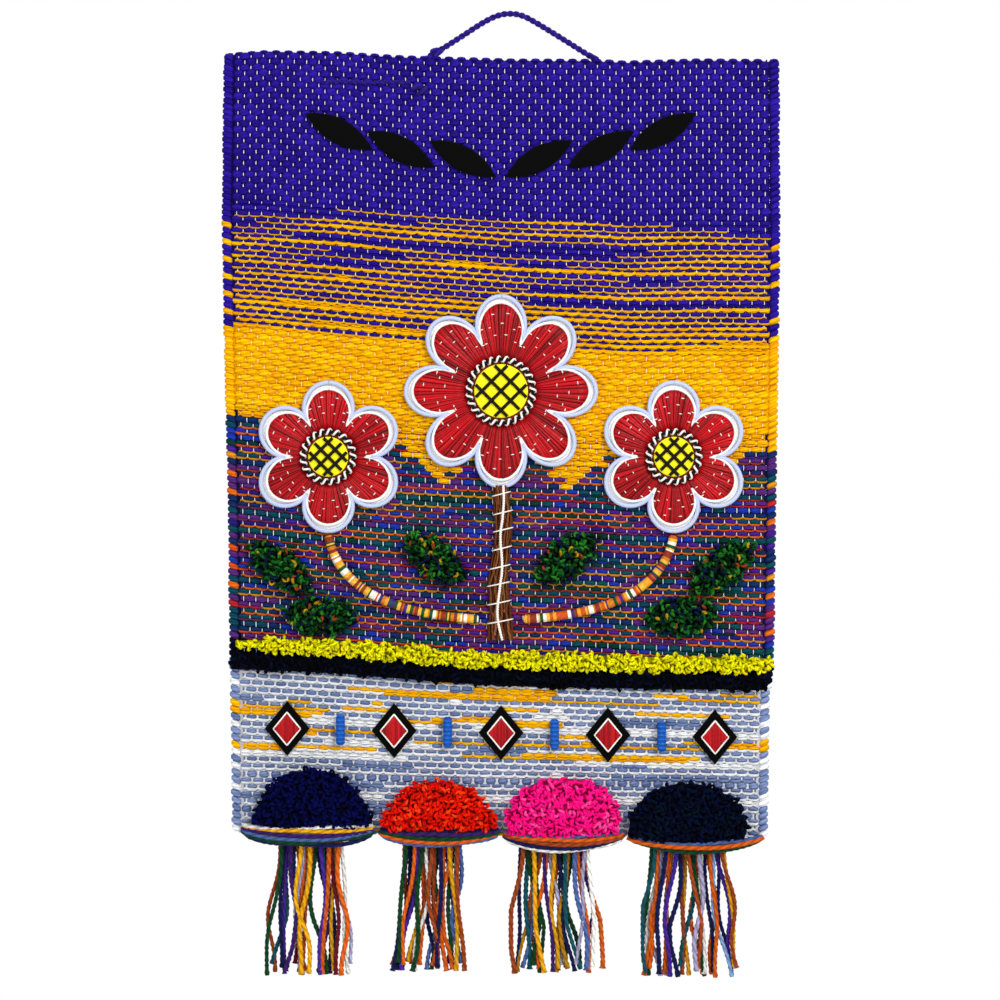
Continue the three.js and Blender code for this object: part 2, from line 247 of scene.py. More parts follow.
# Gathers closed rings of points into one mesh, with the dye of every face and two sets of UVs.
class Bundle:
    def __init__(self):
        self.points = []
        self.faces = []
        self.dyes = []
        self.yarnUvs = []
        self.layouts = []
        self.count = 0

    # points is (pieces, rings, around, 3). dye is one colour, or spreads over (pieces, rings - 1, around, 3).
    def addRings(self, points, dye):
        pieces, rings, around, _ = points.shape
        index = self.count + np.arange(pieces * rings * around).reshape(pieces, rings, around)
        after = np.roll(index, -1, 2)
        quads = np.stack([index[:, :-1], after[:, :-1], after[:, 1:], index[:, 1:]], -1)
        first, last = index[:, 0, ::-1], index[:, -1]
        corners = [(0, 0), (0, 1), (1, 1), (1, 0)]
        if self.insideOut(points[0], quads[0] - self.count):
            quads, first, last = quads[..., ::-1], first[:, ::-1], last[:, ::-1]
            corners = corners[::-1]
        step = np.linalg.norm(np.diff(points.mean(2), axis=1), axis=-1) * 1000
        along = np.concatenate([np.zeros((pieces, 1)), np.cumsum(step, 1)], 1)
        turn = np.arange(around) / around
        uv = np.zeros((pieces, rings - 1, around, 4, 2))
        for k, (ring, side) in enumerate(corners):
            uv[..., k, 0] = (along[:, 1:] if ring else along[:, :-1])[:, :, None]
            uv[..., k, 1] = turn + side / around
        uv = uv.reshape(-1, 2)
        dye = np.broadcast_to(dye, (pieces, rings - 1, around, 3))
        self.points.append(points.reshape(-1, 3))
        self.faces += [quads.reshape(-1, 4), first, last]
        self.dyes.append(np.repeat(dye.reshape(-1, 3), 4, 0))
        self.yarnUvs.append(uv)
        for end in (0, -1):
            self.dyes.append(np.repeat(dye[:, end, 0], around, 0))
            self.yarnUvs.append(np.stack([np.repeat(along[:, end], around), np.tile(turn, pieces)], -1))
        self.layouts.append(self.layOut(points, along, uv))
        self.count += pieces * rings * around

    def insideOut(self, points, quads):
        corners = points.reshape(-1, 3)[quads.reshape(-1, 4)] - points.mean((0, 1))
        return np.einsum("ij,ij->", corners[:, 0], np.cross(corners[:, 1], corners[:, 2])) < 0

    # A batch's area, and where its faces lie in its band of the layout, a cell to each piece.
    def layOut(self, points, along, uv):
        pieces, rings, around, _ = points.shape
        length = max(along[:, -1].max(), 1e-6)
        sides = np.diff(points[0], axis=1, append=points[0][:, :1])
        girth = np.linalg.norm(sides, axis=-1).sum(1).max() * 1000
        columns = max(1, round(math.sqrt(pieces * girth / length)))
        size = np.array([columns, math.ceil(pieces / columns)])
        cells = np.stack([np.arange(pieces) % columns, np.arange(pieces) // columns], -1)
        quadCells = np.repeat(cells, (rings - 1) * around * 4, 0)
        capCells = np.repeat(cells, around, 0)
        share = np.stack([uv[:, 0] / length, uv[:, 1]], -1) * 0.94 + 0.03
        spread = [(quadCells + share) / size, (capCells + 0.02) / size, (capCells + 0.98) / size]
        return pieces * length * girth, spread

    # Strands along (pieces, rings, 3) centrelines, with half widths to the side and to the front.
    def addStrands(self, centre, halfSide, halfFront, dye, around=6, side=None, front=None,
                   lobes=0.0, twist=0.0):
        tangent = unit(np.gradient(centre, axis=1))
        if front is None:
            side = unit(np.cross(np.array([0.0, -1.0, 0.03]), tangent) if side is None else side)
            front = unit(np.cross(tangent, side))
        shape = centre.shape[:2]
        angle = np.arange(around) / around * 2 * math.pi
        spin = np.broadcast_to(np.asarray(twist, float), shape)[..., None]
        swell = 1 + lobes * np.cos(2 * (angle - spin))
        across = np.cos(angle) * swell * np.broadcast_to(halfSide, shape)[..., None] * 0.001
        out = np.sin(angle) * swell * np.broadcast_to(halfFront, shape)[..., None] * 0.001
        points = centre[:, :, None] + across[..., None] * side[:, :, None]
        self.addRings(points + out[..., None] * front[:, :, None], dye)

    def make(self, name, finish, slot, stands=()):
        mesh = bpy.data.meshes.new(name)
        points = np.concatenate(self.points)
        loops = np.concatenate([f.reshape(-1) for f in self.faces])
        sizes = np.concatenate([np.full(len(f), f.shape[1]) for f in self.faces])
        starts = np.concatenate([[0], np.cumsum(sizes)[:-1]])
        mesh.vertices.add(len(points))
        mesh.vertices.foreach_set("co", points.reshape(-1).astype(np.float32))
        mesh.loops.add(len(loops))
        mesh.loops.foreach_set("vertex_index", loops.astype(np.int32))
        mesh.polygons.add(len(sizes))
        mesh.polygons.foreach_set("loop_start", starts.astype(np.int32))
        mesh.update(calc_edges=True)
        mesh.polygons.foreach_set("use_smooth", np.ones(len(sizes), bool))
        dyes = np.concatenate(self.dyes)
        dyes = np.column_stack([dyes, np.ones(len(dyes))])
        layer = mesh.color_attributes.new("dye", "FLOAT_COLOR", "CORNER")
        layer.data.foreach_set("color", dyes.reshape(-1).astype(np.float32))
        for layout, uvs in (("OFBake", self.bakeUvs()), ("yarnUv", np.concatenate(self.yarnUvs))):
            layer = mesh.uv_layers.new(name=layout)
            layer.data.foreach_set("uv", uvs.reshape(-1).astype(np.float32))
        mesh.materials.append(finish)
        piece = bpy.data.objects.new(name, mesh)
        bpy.context.collection.objects.link(piece)
        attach(piece, "root")
        if stands:
            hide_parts(*stands)
        return piece

    # Each batch takes a band of the layout as tall as its share of the surface.
    def bakeUvs(self):
        areas = np.array([area for area, _ in self.layouts])
        edges = np.concatenate([[0], np.cumsum(areas / areas.sum())])
        made = []
        for low, high, (_, spread) in zip(edges[:-1], edges[1:], self.layouts):
            made += [np.column_stack([s[:, 0], between(low, high, s[:, 1])]) for s in spread]
        return np.concatenate(made)


# The panel's outline: sides down from the top, and the top and bottom edges across.
panel = {
    "down": [0, 95, 190, 270, 350, 368, 451],
    "left": [-167.8, -169.0, -167.2, -165.4, -164.6, -164.0, -163.0],
    "right": [155.6, 156.2, 154.9, 153.6, 152.6, 150.0, 148.8],
    "across": [-168, -144, -102, -65, 0, 51, 65, 109, 155],
    "rise": [3.2, 5.0, 4.4, 2.2, 0.2, 0.0, -1.0, 0.3, -0.2],
    "top": -26.0,
    "bottom": -476.3,
    "bottomFall": 3.0,
    "tiltAt": [0, 0.22, 0.5, 0.79, 1],  # how far the rows rise to the left, at shares of the height
    "tilt": [0, 7.9, 6.5, 4, 0],
    "bendAt": [0.22, 0.79],
    "bend": [1.0, 2.0],
    "centre": -6.4,
    "foldRadius": 4.3,
    "middleRadius": 2.3,
    "hem": 19.0,
    "sewn": 4.6,  # how far out the cloth's face is
}
frontLength = panel["top"] - panel["foldRadius"] - panel["bottom"]
clothLength = frontLength + math.pi * panel["middleRadius"] + panel["hem"]


def topAt(x):
    return panel["top"] + np.interp(x, panel["across"], panel["rise"])


def bottomAt(x):
    left, right = panel["left"][-1], panel["right"][-1]
    return panel["bottom"] - panel["bottomFall"] * (x - left) / (right - left)


# A place on the cloth's middle surface: share across, and length up it, over the fold and down the hem.
def clothPlace(share, length, inset=0.0):
    up = np.clip(length / frontLength, 0, 1)
    down = (1 - up) * (panel["top"] - panel["bottom"])
    left = np.interp(down, panel["down"], panel["left"]) + inset
    right = np.interp(down, panel["down"], panel["right"]) - inset
    x = between(left, right, share)
    fold = topAt(x) - panel["foldRadius"]
    tilt = np.interp(up, panel["tiltAt"], panel["tilt"])
    bend = np.interp(up, panel["bendAt"], panel["bend"])
    y = between(bottomAt(x), fold, up) + tilt * np.clip(1 - share, 0, 1) ** bend
    over = np.maximum(length - frontLength, 0)
    turn = np.minimum(over / panel["middleRadius"], math.pi)
    back = np.maximum(over - math.pi * panel["middleRadius"], 0)
    y = y + panel["middleRadius"] * np.sin(turn) - back
    return x, y, panel["middleRadius"] * np.cos(turn), turn


def clothFrame(turn, shape):
    turn = np.broadcast_to(turn, shape)
    zero = np.zeros(shape)
    lengthways = np.stack([zero, np.sin(turn), np.cos(turn)], -1)
    outwards = np.stack([zero, -np.cos(turn), np.sin(turn)], -1)
    return lengthways, outwards


weave = {
    "warps": 86,
    "pitch": 3.52,  # between weft rows
    "inset": 7.2,  # from the selvedge to the first warp
    "crown": 0.62,  # half a bead's flat top, and where it goes under, in warps
    "under": 0.88,
    "out": 0.95,  # how far the weft stands in front of and behind the middle
    "back": -0.8,
    "deep": 1.0,
    "fullHalf": 2.25,  # half a bead's height at its crown, in a row by itself, and where it goes under
    "loneHalf": 1.8,
    "thinHalf": 1.35,
    "lineHalf": 0.62,  # half the height of a thin strand
    "dip": 0.34,  # painted shade: how much darker the yarn is dyed where it goes under, and in two bands
    "dips": {"purple": 0.5, "blue": 0.5},
    "warpOut": 0.8,
    "warpHalf": 0.26,
    "warpInGold": linear("#fff0bc"),
    "waver": 0.4,  # how far the rows stray from straight
    "climb": 8.5,  # how far they climb at the left selvedge, and over how many warps
    "climbOver": 26,
}
rowCount = int(clothLength / weave["pitch"])

dyes = {
    "purple": colours("#27138c", "#2c1798", "#220f80"),
    "gold": colours("#fbb400", "#ffbe04", "#f6aa00"),
    "blueGrey": colours("#7183b0", "#7d8fbb", "#6577a6"),
    "white": colours("#eceef2", "#f4f5f7"),
    "ink": colours("#04071c", "#060a24"),
    "dark": colours("#221c74", "#46208a", "#0c4458", "#142c5c", "#552874", "#1c34a0", "#0e4a54", "#0c3632"),
    "rust": colours("#d6501a", "#b4242c", "#d68c1c", "#963a20", "#e06818", "#742a58"),
}

# Weft rows from the bottom edge up, a letter each. B, D, P, W and Y have a thin strand beside the thick one.
bands = [
    {"name": "blue", "rows": "YBBbBWBBbBBWYBYYWYYYBYYYY"},
    {"name": "ink", "rows": "iii"},
    {"name": "dark", "rows": "DDdDDDdDDdDDDdDDDdDDdDDDDdDDdDDDdDDdDD"},
    {"name": "gold", "rows": "ggggggggggggg"},
    {"name": "mixed", "rows": "P" * 22},
    {"name": "purple", "rows": "p" * 59},
]
rowsUp = [(band["name"], letter) for band in bands for letter in band["rows"]][:rowCount]
darkTop = sum(len(band["rows"]) for band in bands[:3])
mixedFrom = darkTop + len(bands[3]["rows"])

# Gold's share of a row in the mixed band, from its foot to its top, and how it changes.
mixedGold = {"low": 0.63, "high": 0.12, "change": 0.85, "rowChange": 0.45, "least": 0.26, "most": 0.74}
rowDyes = {"b": "blueGrey", "y": "blueGrey", "w": "white", "i": "ink", "g": "gold", "p": "purple"}
flatness = {"dark": 0.3, "gold": 0.65, "run": 0.8}
# Runs of another dye along a row: over how many beads a level drifts, and the level above which they are.
runs = {"thinBlue": (11, 0.85), "white": (9, 0.87), "blue": (9, 0.6), "gold": (6, 0.6), "thinGold": (5, 0.62),
        "thinDark": (10, 0.82)}
zigzag = {"repeats": 4, "steps": 5, "rowsEach": 2}


# A smooth run of numbers from 0 to 1, for yarn whose dye changes along it.
def drift(count, reach):
    knots = rng.random(int(count / reach) + 3)
    return np.interp(np.arange(count) / reach, np.arange(len(knots)), knots)


def dyed(name, count):
    return dyes[name][rng.integers(len(dyes[name]), size=count)]


def dyedInRuns(name, count, reach):
    return dyes[name][np.floor(drift(count, reach) * len(dyes[name]) * 0.999).astype(int)]


# The dye of a row's thick yarn bead by bead, how flat each bead lies, and the dye and half height of its
# thin strand if it has one.
def dyeRow(row, crowns):
    name, letter = rowsUp[row]
    beads = len(crowns)
    flat = np.zeros(beads)
    thin = None
    line = np.full(beads, weave["lineHalf"])

    def inRun(run):
        reach, level = runs[run]
        return drift(beads, reach) > level

    def change(where, dye, lies=0.0):
        thick[where] = dyed(dye, where.sum())
        flat[where] = lies

    def changeThin(where, dye):
        thin[where] = dyed(dye, where.sum())

    if letter in "Dd":
        thick = dyedInRuns("dark", beads, 5)
        flat[:] = flatness["dark"]
    else:
        thick = dyed(rowDyes[letter.lower()], beads)
    if letter in "BYW":
        thin = dyed("white", beads)
        changeThin(inRun("thinBlue"), "blueGrey")
        line = weave["lineHalf"] + 0.4 * drift(beads, 8)
    if letter in "BY":
        change(inRun("white"), "white", flatness["run"])
    if letter == "W":
        flat[:] = flatness["run"]
        change(inRun("blue"), "blueGrey")
    if letter == "Y":
        change(inRun("gold"), "gold", flatness["run"])
        changeThin(inRun("thinGold"), "gold")
    if letter == "P":
        gold = between(mixedGold["low"], mixedGold["high"], (row - mixedFrom) / len(bands[4]["rows"]))
        gold = gold + mixedGold["rowChange"] * (rng.random() - 0.5)
        gold = gold + mixedGold["change"] * (drift(beads, 9) - 0.5)
        thin = dyed("gold", beads)
        line = np.clip(gold, mixedGold["least"], mixedGold["most"]) * weave["pitch"] / 2
        changeThin(gold < 0.1, "purple")
        change(gold > 0.86, "gold", flatness["run"])
    if letter == "g":
        flat[:] = flatness["gold"]
    if letter == "D":
        thin = dyedInRuns("rust", beads, 12)
        changeThin(inRun("thinDark"), "dark")
    if name == "dark":
        tooth = np.abs(((crowns / weave["warps"] * zigzag["repeats"]) % 1) - 0.5) * 2
        step = np.floor(tooth * zigzag["steps"] + 0.5) - zigzag["steps"]
        over = row >= darkTop + zigzag["rowsEach"] * step
        change(over, "gold", flatness["gold"])
        if thin is not None:
            changeThin(over, "gold")
    for run in [thick, flat, line] + ([] if thin is None else [thin]):
        run[:2] = run[2]  # nothing changes beside a selvedge
        run[-2:] = run[-3]
    tint = (0.96 + 0.08 * rng.random()) * (0.96 + 0.08 * rng.random((beads, 1)))
    return thick * tint, flat, thin, line


# How far a row strays along the cloth, so that neighbouring rows stray together.
def strayAt(warpAt, row):
    strays = np.sin(0.11 * warpAt + 0.05 * row) + np.sin(0.047 * warpAt - 0.083 * row + 2.0)
    climb = weave["climb"] * np.exp(-warpAt / weave["climbOver"])
    return (weave["waver"] * strays + climb) * np.sin(math.pi * row / rowCount)


# A bead's course: stops in warps from its crown, how far to the front and how full it is at each, and
# whether the stop belongs to the next bead.
def beadCourse(lone):
    crown, under = weave["crown"], weave["under"]
    if lone:  # fatter, and rounded at its middle
        swell = [1, 0.84, 0, 0, 0.84]
        return [0, crown - 0.08, under, 2 - under, 2.08 - crown], swell, swell, [0, 0, 0, 1, 1]
    return [-crown, crown, under, 2 - under], [0.94, 0.94, 0, 0], [0.9, 0.9, 0, 0], [0, 0, 0, 1]


def weaveRow(row, bundle):
    name, _ = rowsUp[row]
    crowns = np.arange(-1 - row % 2, weave["warps"] + 2, 2)
    thick, flat, thin, line = dyeRow(row, crowns)
    stops, level, full, owner = beadCourse(thin is None)
    warpAt = np.add.outer(crowns, stops).ravel()
    keep = (warpAt > -1.0) & (warpAt < weave["warps"])
    warpAt = warpAt[keep]
    bead = np.add.outer(np.arange(len(crowns)), owner).ravel()[keep].clip(0, len(crowns) - 1)
    crest = np.tile(level, len(crowns))[keep]
    onTop = crest + (1 - crest) * 0.6 * flat[bead]
    fullness = np.tile(full, len(crowns))[keep]
    fullness = fullness + (1 - fullness) * flat[bead]
    length = (row + 0.5) * weave["pitch"] + strayAt(warpAt, row)
    x, y, out, turn = clothPlace((warpAt + 0.5) / weave["warps"], length, weave["inset"])
    lengthways, outwards = clothFrame(turn, (1, len(warpAt)))
    middle = toWorld(x, y, out)[None]
    plump = 0.9 + 0.12 * rng.random(len(warpAt)) + 0.16 * drift(len(warpAt), 12)

    def lay(dye, up, front, half, deep, around):
        centre = middle + 0.001 * (up[None, :, None] * lengthways + front[None, :, None] * outwards)
        bundle.addStrands(centre, half * plump, deep, dye[None, :, None], around, lengthways, outwards)

    front = between(weave["back"], weave["out"], onTop)
    # painted shade: the yarn's dye is darker where it goes under the warps, less so where it lies flat
    dip = weave["dips"].get(name, weave["dip"])
    shade = 1 - dip + dip * (onTop[1:] + onTop[:-1]) / 2
    dye = thick[bead[:-1]] * shade[:, None]
    if thin is None:
        tall = weave["fullHalf" if name in ("purple", "gold") else "loneHalf"] - 0.5 * flat[bead]
        lay(dye, 0 * front, front, between(weave["thinHalf"], tall, fullness), weave["deep"], 6)
    else:
        half = line[bead]
        tall = weave["pitch"] / 2 - half + 0.1
        lay(dye, between(half / 2, half, crest), front, between(tall * 0.92, tall, fullness), weave["deep"], 6)
        drop = between(-0.13, -0.73, crest) + half - weave["lineHalf"] - 0.62
        lay(thin[bead[:-1]], drop, between(0.5, 1.1, crest), half, 0.6 + 0.15 * half, 4)
    edgeYarn = thin if thin is not None and row % 3 == 0 else thick
    return edgeYarn[1], edgeYarn[-2]


def weaveWeft():
    made = {band["name"]: Bundle() for band in bands}
    edges = [weaveRow(row, made[rowsUp[row][0]]) for row in range(rowCount)]
    pieces = [made[name].make("weft_" + name, weftYarn, "woven_yarn") for name in made]
    return pieces + [bindSelvedges(edges)]


# At each selvedge the weft winds round the outermost warps, one turn to a row.
selvedge = {"middle": 3.2, "halfWide": 1.95, "halfDeep": 0.95, "yarnTall": 1.85, "yarnDeep": 1.2,
            "uneven": 0.35, "perTurn": 8}


def bindSelvedges(edges):
    made = Bundle()
    perTurn = selvedge["perTurn"]
    steps = np.arange(rowCount * perTurn - 2)
    turns = steps / perTurn
    angle = turns * 2 * math.pi
    for side, sign in ((0, -1), (1, 1)):
        length = (turns + 0.4) * weave["pitch"] + strayAt(side * weave["warps"], turns)
        x, y, out, turn = clothPlace(np.full(len(steps), float(side)), length, selvedge["middle"])
        lengthways, outwards = clothFrame(turn, (1, len(steps)))
        swell = np.repeat(1 + selvedge["uneven"] * (rng.random(rowCount) - 0.5), perTurn)[:len(steps)]
        centre = toWorld(x - sign * selvedge["halfWide"] * np.cos(angle) * swell, y, out)[None]
        centre = centre + outwards * (0.001 * selvedge["halfDeep"] * np.sin(angle))[None, :, None]
        dye = np.array([edges[row][side] for row in steps // perTurn])[None, 1:, None]
        made.addStrands(centre, selvedge["yarnTall"], selvedge["yarnDeep"], dye, 6, lengthways)
    return made.make("selvedges", weftYarn, "woven_yarn")


def weaveWarp():
    made = Bundle()
    rows = np.arange(rowCount)
    inGold = np.array([rowsUp[row][0] == "gold" for row in rows])[:, None]
    for warp in range(weave["warps"] + 1):
        across = min(warp, weave["warps"] - 0.32)  # the last two lie together by the right selvedge
        length = (rows + 0.5) * weave["pitch"] + strayAt(across, rows)
        x, y, out, turn = clothPlace((across + 0.5) / weave["warps"], length, weave["inset"])
        swing = np.where((rows + warp) % 2 == 0, 1, -1) * weave["warpOut"]
        swing = swing * (0.78 + 0.34 * rng.random(rowCount))
        _, outwards = clothFrame(turn, (1, rowCount))
        centre = toWorld(x, y, out)[None] + outwards * (swing * 0.001)[None, :, None]
        sideways = np.broadcast_to(np.array([-1.0, 0, 0]), centre.shape)
        dye = np.where(inGold, weave["warpInGold"], dyes["white"][warp % 2])[None, 1:, None]
        made.addStrands(centre, weave["warpHalf"], weave["warpHalf"], dye, 4, sideways, outwards)
    return made.make("warp", warpThread, "woven_yarn")


# A thin closed web in the middle of the weave, so that no light comes through between the yarns.
web = {"half": 0.3, "inset": 4.0, "columns": 24, "rows": 66, "foldRows": 8,
       "ground": {"blue": "white", "mixed": "purple"}, "shade": {"gold": 0.8, "blue": 0.7}, "elsewhere": 0.25}


def makeWeb():
    made = Bundle()
    front = np.linspace(0.5, frontLength, web["rows"])
    fold = frontLength + np.linspace(0.12, 1, web["foldRows"]) * math.pi * panel["middleRadius"]
    length = np.concatenate([front, fold, [clothLength - 0.5]])
    share = np.linspace(0, 1, web["columns"])[:, None]
    strayed = length + strayAt(share * weave["warps"], length / weave["pitch"])
    x, y, out, turn = clothPlace(share, strayed, web["inset"])
    _, outwards = clothFrame(turn, x.shape)
    middle = toWorld(x, y, out)
    thick = outwards * web["half"] * 0.001
    faces = np.concatenate([middle + thick, (middle - thick)[:, ::-1]], 1)
    tones = []
    for row in np.clip(length / weave["pitch"], 0, rowCount - 1).astype(int):
        name = rowsUp[row][0]
        # painted shade: the web shows in the gaps between the yarns, dyed its band's colour darkened by its
        # shade
        tones.append(dyes[web["ground"].get(name, name)][0] * web["shade"].get(name, web["elsewhere"]))
    made.addRings(faces[None], np.array(tones + tones[::-1])[None, None])
    return made.make("panel_web", felt, "woven_yarn", ["woven_panel"])


wefts = weaveWeft()
warp = weaveWarp()
panelWeb = makeWeb()
print("panel woven:", rowCount, "rows,", weave["warps"], "warps")


# A smooth line through given points.
def smoothLine(points, count):
    points = np.asarray(points, float)
    padded = np.concatenate([[2 * points[0] - points[1]], points, [2 * points[-1] - points[-2]]])
    at = np.linspace(0, len(points) - 1 - 1e-9, count)
    i = at.astype(int)
    t = (at - i)[:, None]
    p0, p1, p2, p3 = (padded[i + k] for k in range(4))
    square = 2 * p0 - 5 * p1 + 4 * p2 - p3
    cube = 3 * p1 - p0 - 3 * p2 + p3
    return 0.5 * (2 * p1 + (p2 - p0) * t + square * t ** 2 + cube * t ** 3)


# The same line in even steps, and its length.
def evenly(line, count):
    step = np.linalg.norm(np.diff(line, axis=0), axis=1)
    length = np.concatenate([[0], np.cumsum(step)])
    at = np.linspace(0, length[-1], count)
    return np.stack([np.interp(at, length, line[:, k]) for k in range(line.shape[1])], -1), length[-1]


# Plies that wind round each other along a line of (x, up, out) points.
def twistedCord(bundle, line, half, plies, pitch, shades, around=8, perTurn=8):
    _, length = evenly(line, 10)
    count = int(length / pitch * perTurn) + 8
    centre, length = evenly(line, count)
    centre = lineToWorld(centre)
    tangent = unit(np.gradient(centre, axis=0))
    side = unit(np.cross(np.array([0.0, -1.0, 0.05]), tangent))
    front = np.cross(tangent, side)
    away = half * 0.5 if plies > 1 else 0
    for ply in range(plies):
        angle = 2 * math.pi * (np.linspace(0, length, count) / pitch + ply / plies)
        path = centre + 0.001 * away * (np.cos(angle)[:, None] * side + np.sin(angle)[:, None] * front)
        bundle.addStrands(path[None], half * 0.58, half * 0.58, shades[ply % len(shades)], around)


cord = {
    "route": [(-50.0, -26.4), (-46.2, -23.5), (-40.0, -20.0), (-30.4, -13.9), (-16.2, -4.8), (-7.4, -0.8),
              (0, 0), (6.4, -1.3), (14.0, -5.2), (28.3, -13.9), (42.9, -23.1), (45.0, -24.4), (49.5, -27.5)],
    "half": 1.75,
    "pitch": 7.0,
    "shades": colours("#2f1a8e", "#281577"),
    "knots": [{"at": (-43.6, -22.4, 0.6), "wide": 6.5, "tall": 5.0, "half": 1.25, "turns": 1.6, "lean": 0.5},
              {"at": (47.0, -25.4, 0.4), "wide": 5.0, "tall": 3.6, "half": 1.2, "turns": 1.3, "lean": -0.5}],
}


# A small overhand knot: a short cord wound about a point.
def addKnot(bundle, knot, shade):
    angle = np.linspace(0, 2 * math.pi * knot["turns"], 34)
    drop = np.linspace(-0.5, 0.5, 34)
    swing = 0.42 * np.cos(angle)
    x, up, out = knot["at"]
    line = toWorld(x + knot["wide"] * (swing * math.cos(knot["lean"]) + drop * 0.5),
                   up + knot["tall"] * (swing * math.sin(knot["lean"]) + 0.3 * np.sin(angle * 0.5)),
                   out + knot["half"] * 1.15 * np.sin(angle))
    bundle.addStrands(line[None], knot["half"], knot["half"], shade, 8)


def makeCord():
    made = Bundle()
    line = np.column_stack([smoothLine(cord["route"], 200), np.zeros(200)])
    twistedCord(made, line, cord["half"], 2, cord["pitch"], cord["shades"])
    piece = made.make("hang_cord", fringeYarn, "purple_yarn", ["hanging_cord"])
    knots = Bundle()
    for knot, shade in zip(cord["knots"], cord["shades"]):
        addKnot(knots, knot, shade)
    knotPiece = knots.make("cord_knots", fringeYarn, "purple_yarn")
    path, length = evenly(line, 60)
    toWorld(*path[0])
    2 * cord["half"] * 0.001
    lineToWorld(path)
    return length


cordLength = makeCord()
print("cord twisted:", round(cordLength), "mm")


# Loops of yarn standing on a surface. Spots are world points with outward directions.
def addLoops(bundle, spots, outward, loop, dye):
    count = len(spots)
    any3 = rng.normal(size=(count, 3))
    across = unit(any3 - (any3 * outward).sum(1, keepdims=True) * outward)
    angle = np.linspace(0.0, math.pi, 6)
    tall = loop["tall"] * (0.8 + 0.4 * rng.random((count, 1)))
    wide = loop["wide"] * (0.8 + 0.4 * rng.random((count, 1)))
    rise = (np.sin(angle) ** 0.7) * tall
    sway = np.cos(angle) * wide / 2
    lean = unit(outward + loop["stray"] * rng.normal(size=(count, 3)) + np.array([0, 0, -loop["droop"]]))
    centre = spots[:, None] + 0.001 * (rise[..., None] * lean[:, None] + sway[..., None] * across[:, None])
    side = np.broadcast_to(unit(np.cross(lean, across))[:, None], centre.shape)
    front = unit(np.cross(unit(np.gradient(centre, axis=1)), side))
    bundle.addStrands(centre, loop["half"], loop["half"], dye, 4, side, front)


def pickDyes(shades, weights, count):
    weights = np.asarray(weights, float)
    chosen = shades[rng.choice(len(shades), count, p=weights / weights.sum())]
    return (chosen * (0.85 + 0.3 * rng.random((count, 1))))[:, None, None, :]


# Spots over a domed pad: heightAt gives how far out the ground is at (x, up), in the pad's own place.
def domeSpots(xLow, xHigh, upLow, upHigh, step, heightAt, inside):
    xs = np.arange(xLow, xHigh, step)
    ups = np.arange(upLow, upHigh, step * 0.87)
    gridX, gridUp = np.meshgrid(xs, ups)
    gridX = gridX + (np.arange(len(ups)) % 2 * step / 2)[:, None]
    x = gridX.ravel() + step * 0.3 * rng.normal(size=gridX.size)
    up = gridUp.ravel() + step * 0.3 * rng.normal(size=gridX.size)
    keep = inside(x, up)
    x, up = x[keep], up[keep]
    d = 0.3
    slopeX = (heightAt(x + d, up) - heightAt(x - d, up)) / (2 * d)
    slopeUp = (heightAt(x, up + d) - heightAt(x, up - d)) / (2 * d)
    outward = unit(np.stack([-slopeX, -np.ones(len(x)), -slopeUp], -1))
    return toWorld(x, up, heightAt(x, up)), outward


def halfOval(count):
    angle = np.linspace(0, math.pi, count)
    return -np.cos(angle), np.sin(angle)


# A piece of looped pile: its loops, and a closed ground under them lofted through half-oval sections.
def makePile(name, pile, spots, outward, sections, groundDye, slot, node):
    made = Bundle()
    addLoops(made, spots, outward, pile["loop"], pickDyes(pile["shades"], pile["weights"], len(spots)))
    made.addRings(np.stack(sections)[None], groundDye)
    made.make(name, pileYarn, slot, [node])


border = {
    "across": [-155, -103, -68, -33, 2, 54, 141],
    "up": [-366.2, -368.4, -371.4, -374.4, -376.0, -377.2, -378.4],
    "half": 4.6,
    "inset": 1.2,
    "taper": 30,  # the length over which it thins to the left
    "step": 1.85,
    "deep": 3.4,
    "loop": {"tall": 2.9, "wide": 2.3, "half": 0.88, "droop": 0.2, "stray": 0.4},
    "shades": colours("#e6e304", "#f2ee0c", "#c8c402", "#e6d804"),
    "weights": [5, 3, 2, 3],
    # painted shade: the ground between the loops is a darker olive than the loops
    "ground": linear("#948c00"),
    "groundHalf": 3.6,
    "groundDeep": 3.2,
}


def borderEnds():
    down = panel["top"] - np.mean(border["up"])
    return (np.interp(down, panel["down"], panel["left"]) + border["inset"],
            np.interp(down, panel["down"], panel["right"]) - border["inset"])


def borderUp(x):
    return np.interp(x, border["across"], border["up"])


def makePileBorder():
    left, right = borderEnds()

    def height(x, up):
        off = np.clip((up - borderUp(x)) / (border["half"] - 1.2), -1, 1)
        return panel["sewn"] + border["deep"] * np.sqrt(1 - 0.9 * off ** 2)

    def taperAt(x):
        return np.clip((x - left) / border["taper"], 0.5, 1)

    def inside(x, up):
        ragged = 0.8 * np.sin(x * 0.21) + 0.6 * np.sin(x * 0.53 + 1)
        reach = (border["half"] - 1.0) * taperAt(x) + ragged
        return (np.abs(up - borderUp(x)) < reach) & (x > left + 2) & (x < right - 2)

    low, high = min(border["up"]) - 9, max(border["up"]) + 9
    spots, outward = domeSpots(left, right, low, high, border["step"], height, inside)
    side, front = halfOval(8)
    sections = []
    for x in np.linspace(left + 3, right - 3, 30):
        up = borderUp(x) + side * border["groundHalf"] * taperAt(x)
        sections.append(toWorld(x, up, panel["sewn"] + front * border["groundDeep"] * taperAt(x)))
    makePile("pile_border_loops", border, spots, outward, sections, border["ground"], "yellow_pile",
             "pile_border")


napBand = {
    "half": 5.1,
    "below": 9.9,
    "step": 2.9,
    "loop": {"tall": 2.0, "wide": 3.6, "half": 1.05, "droop": 0.5, "stray": 0.45},
    "shades": colours("#01030b", "#020618", "#010205", "#040a22"),
    "weights": [4, 3, 3, 1],
    "groundDeep": 1.7,
}


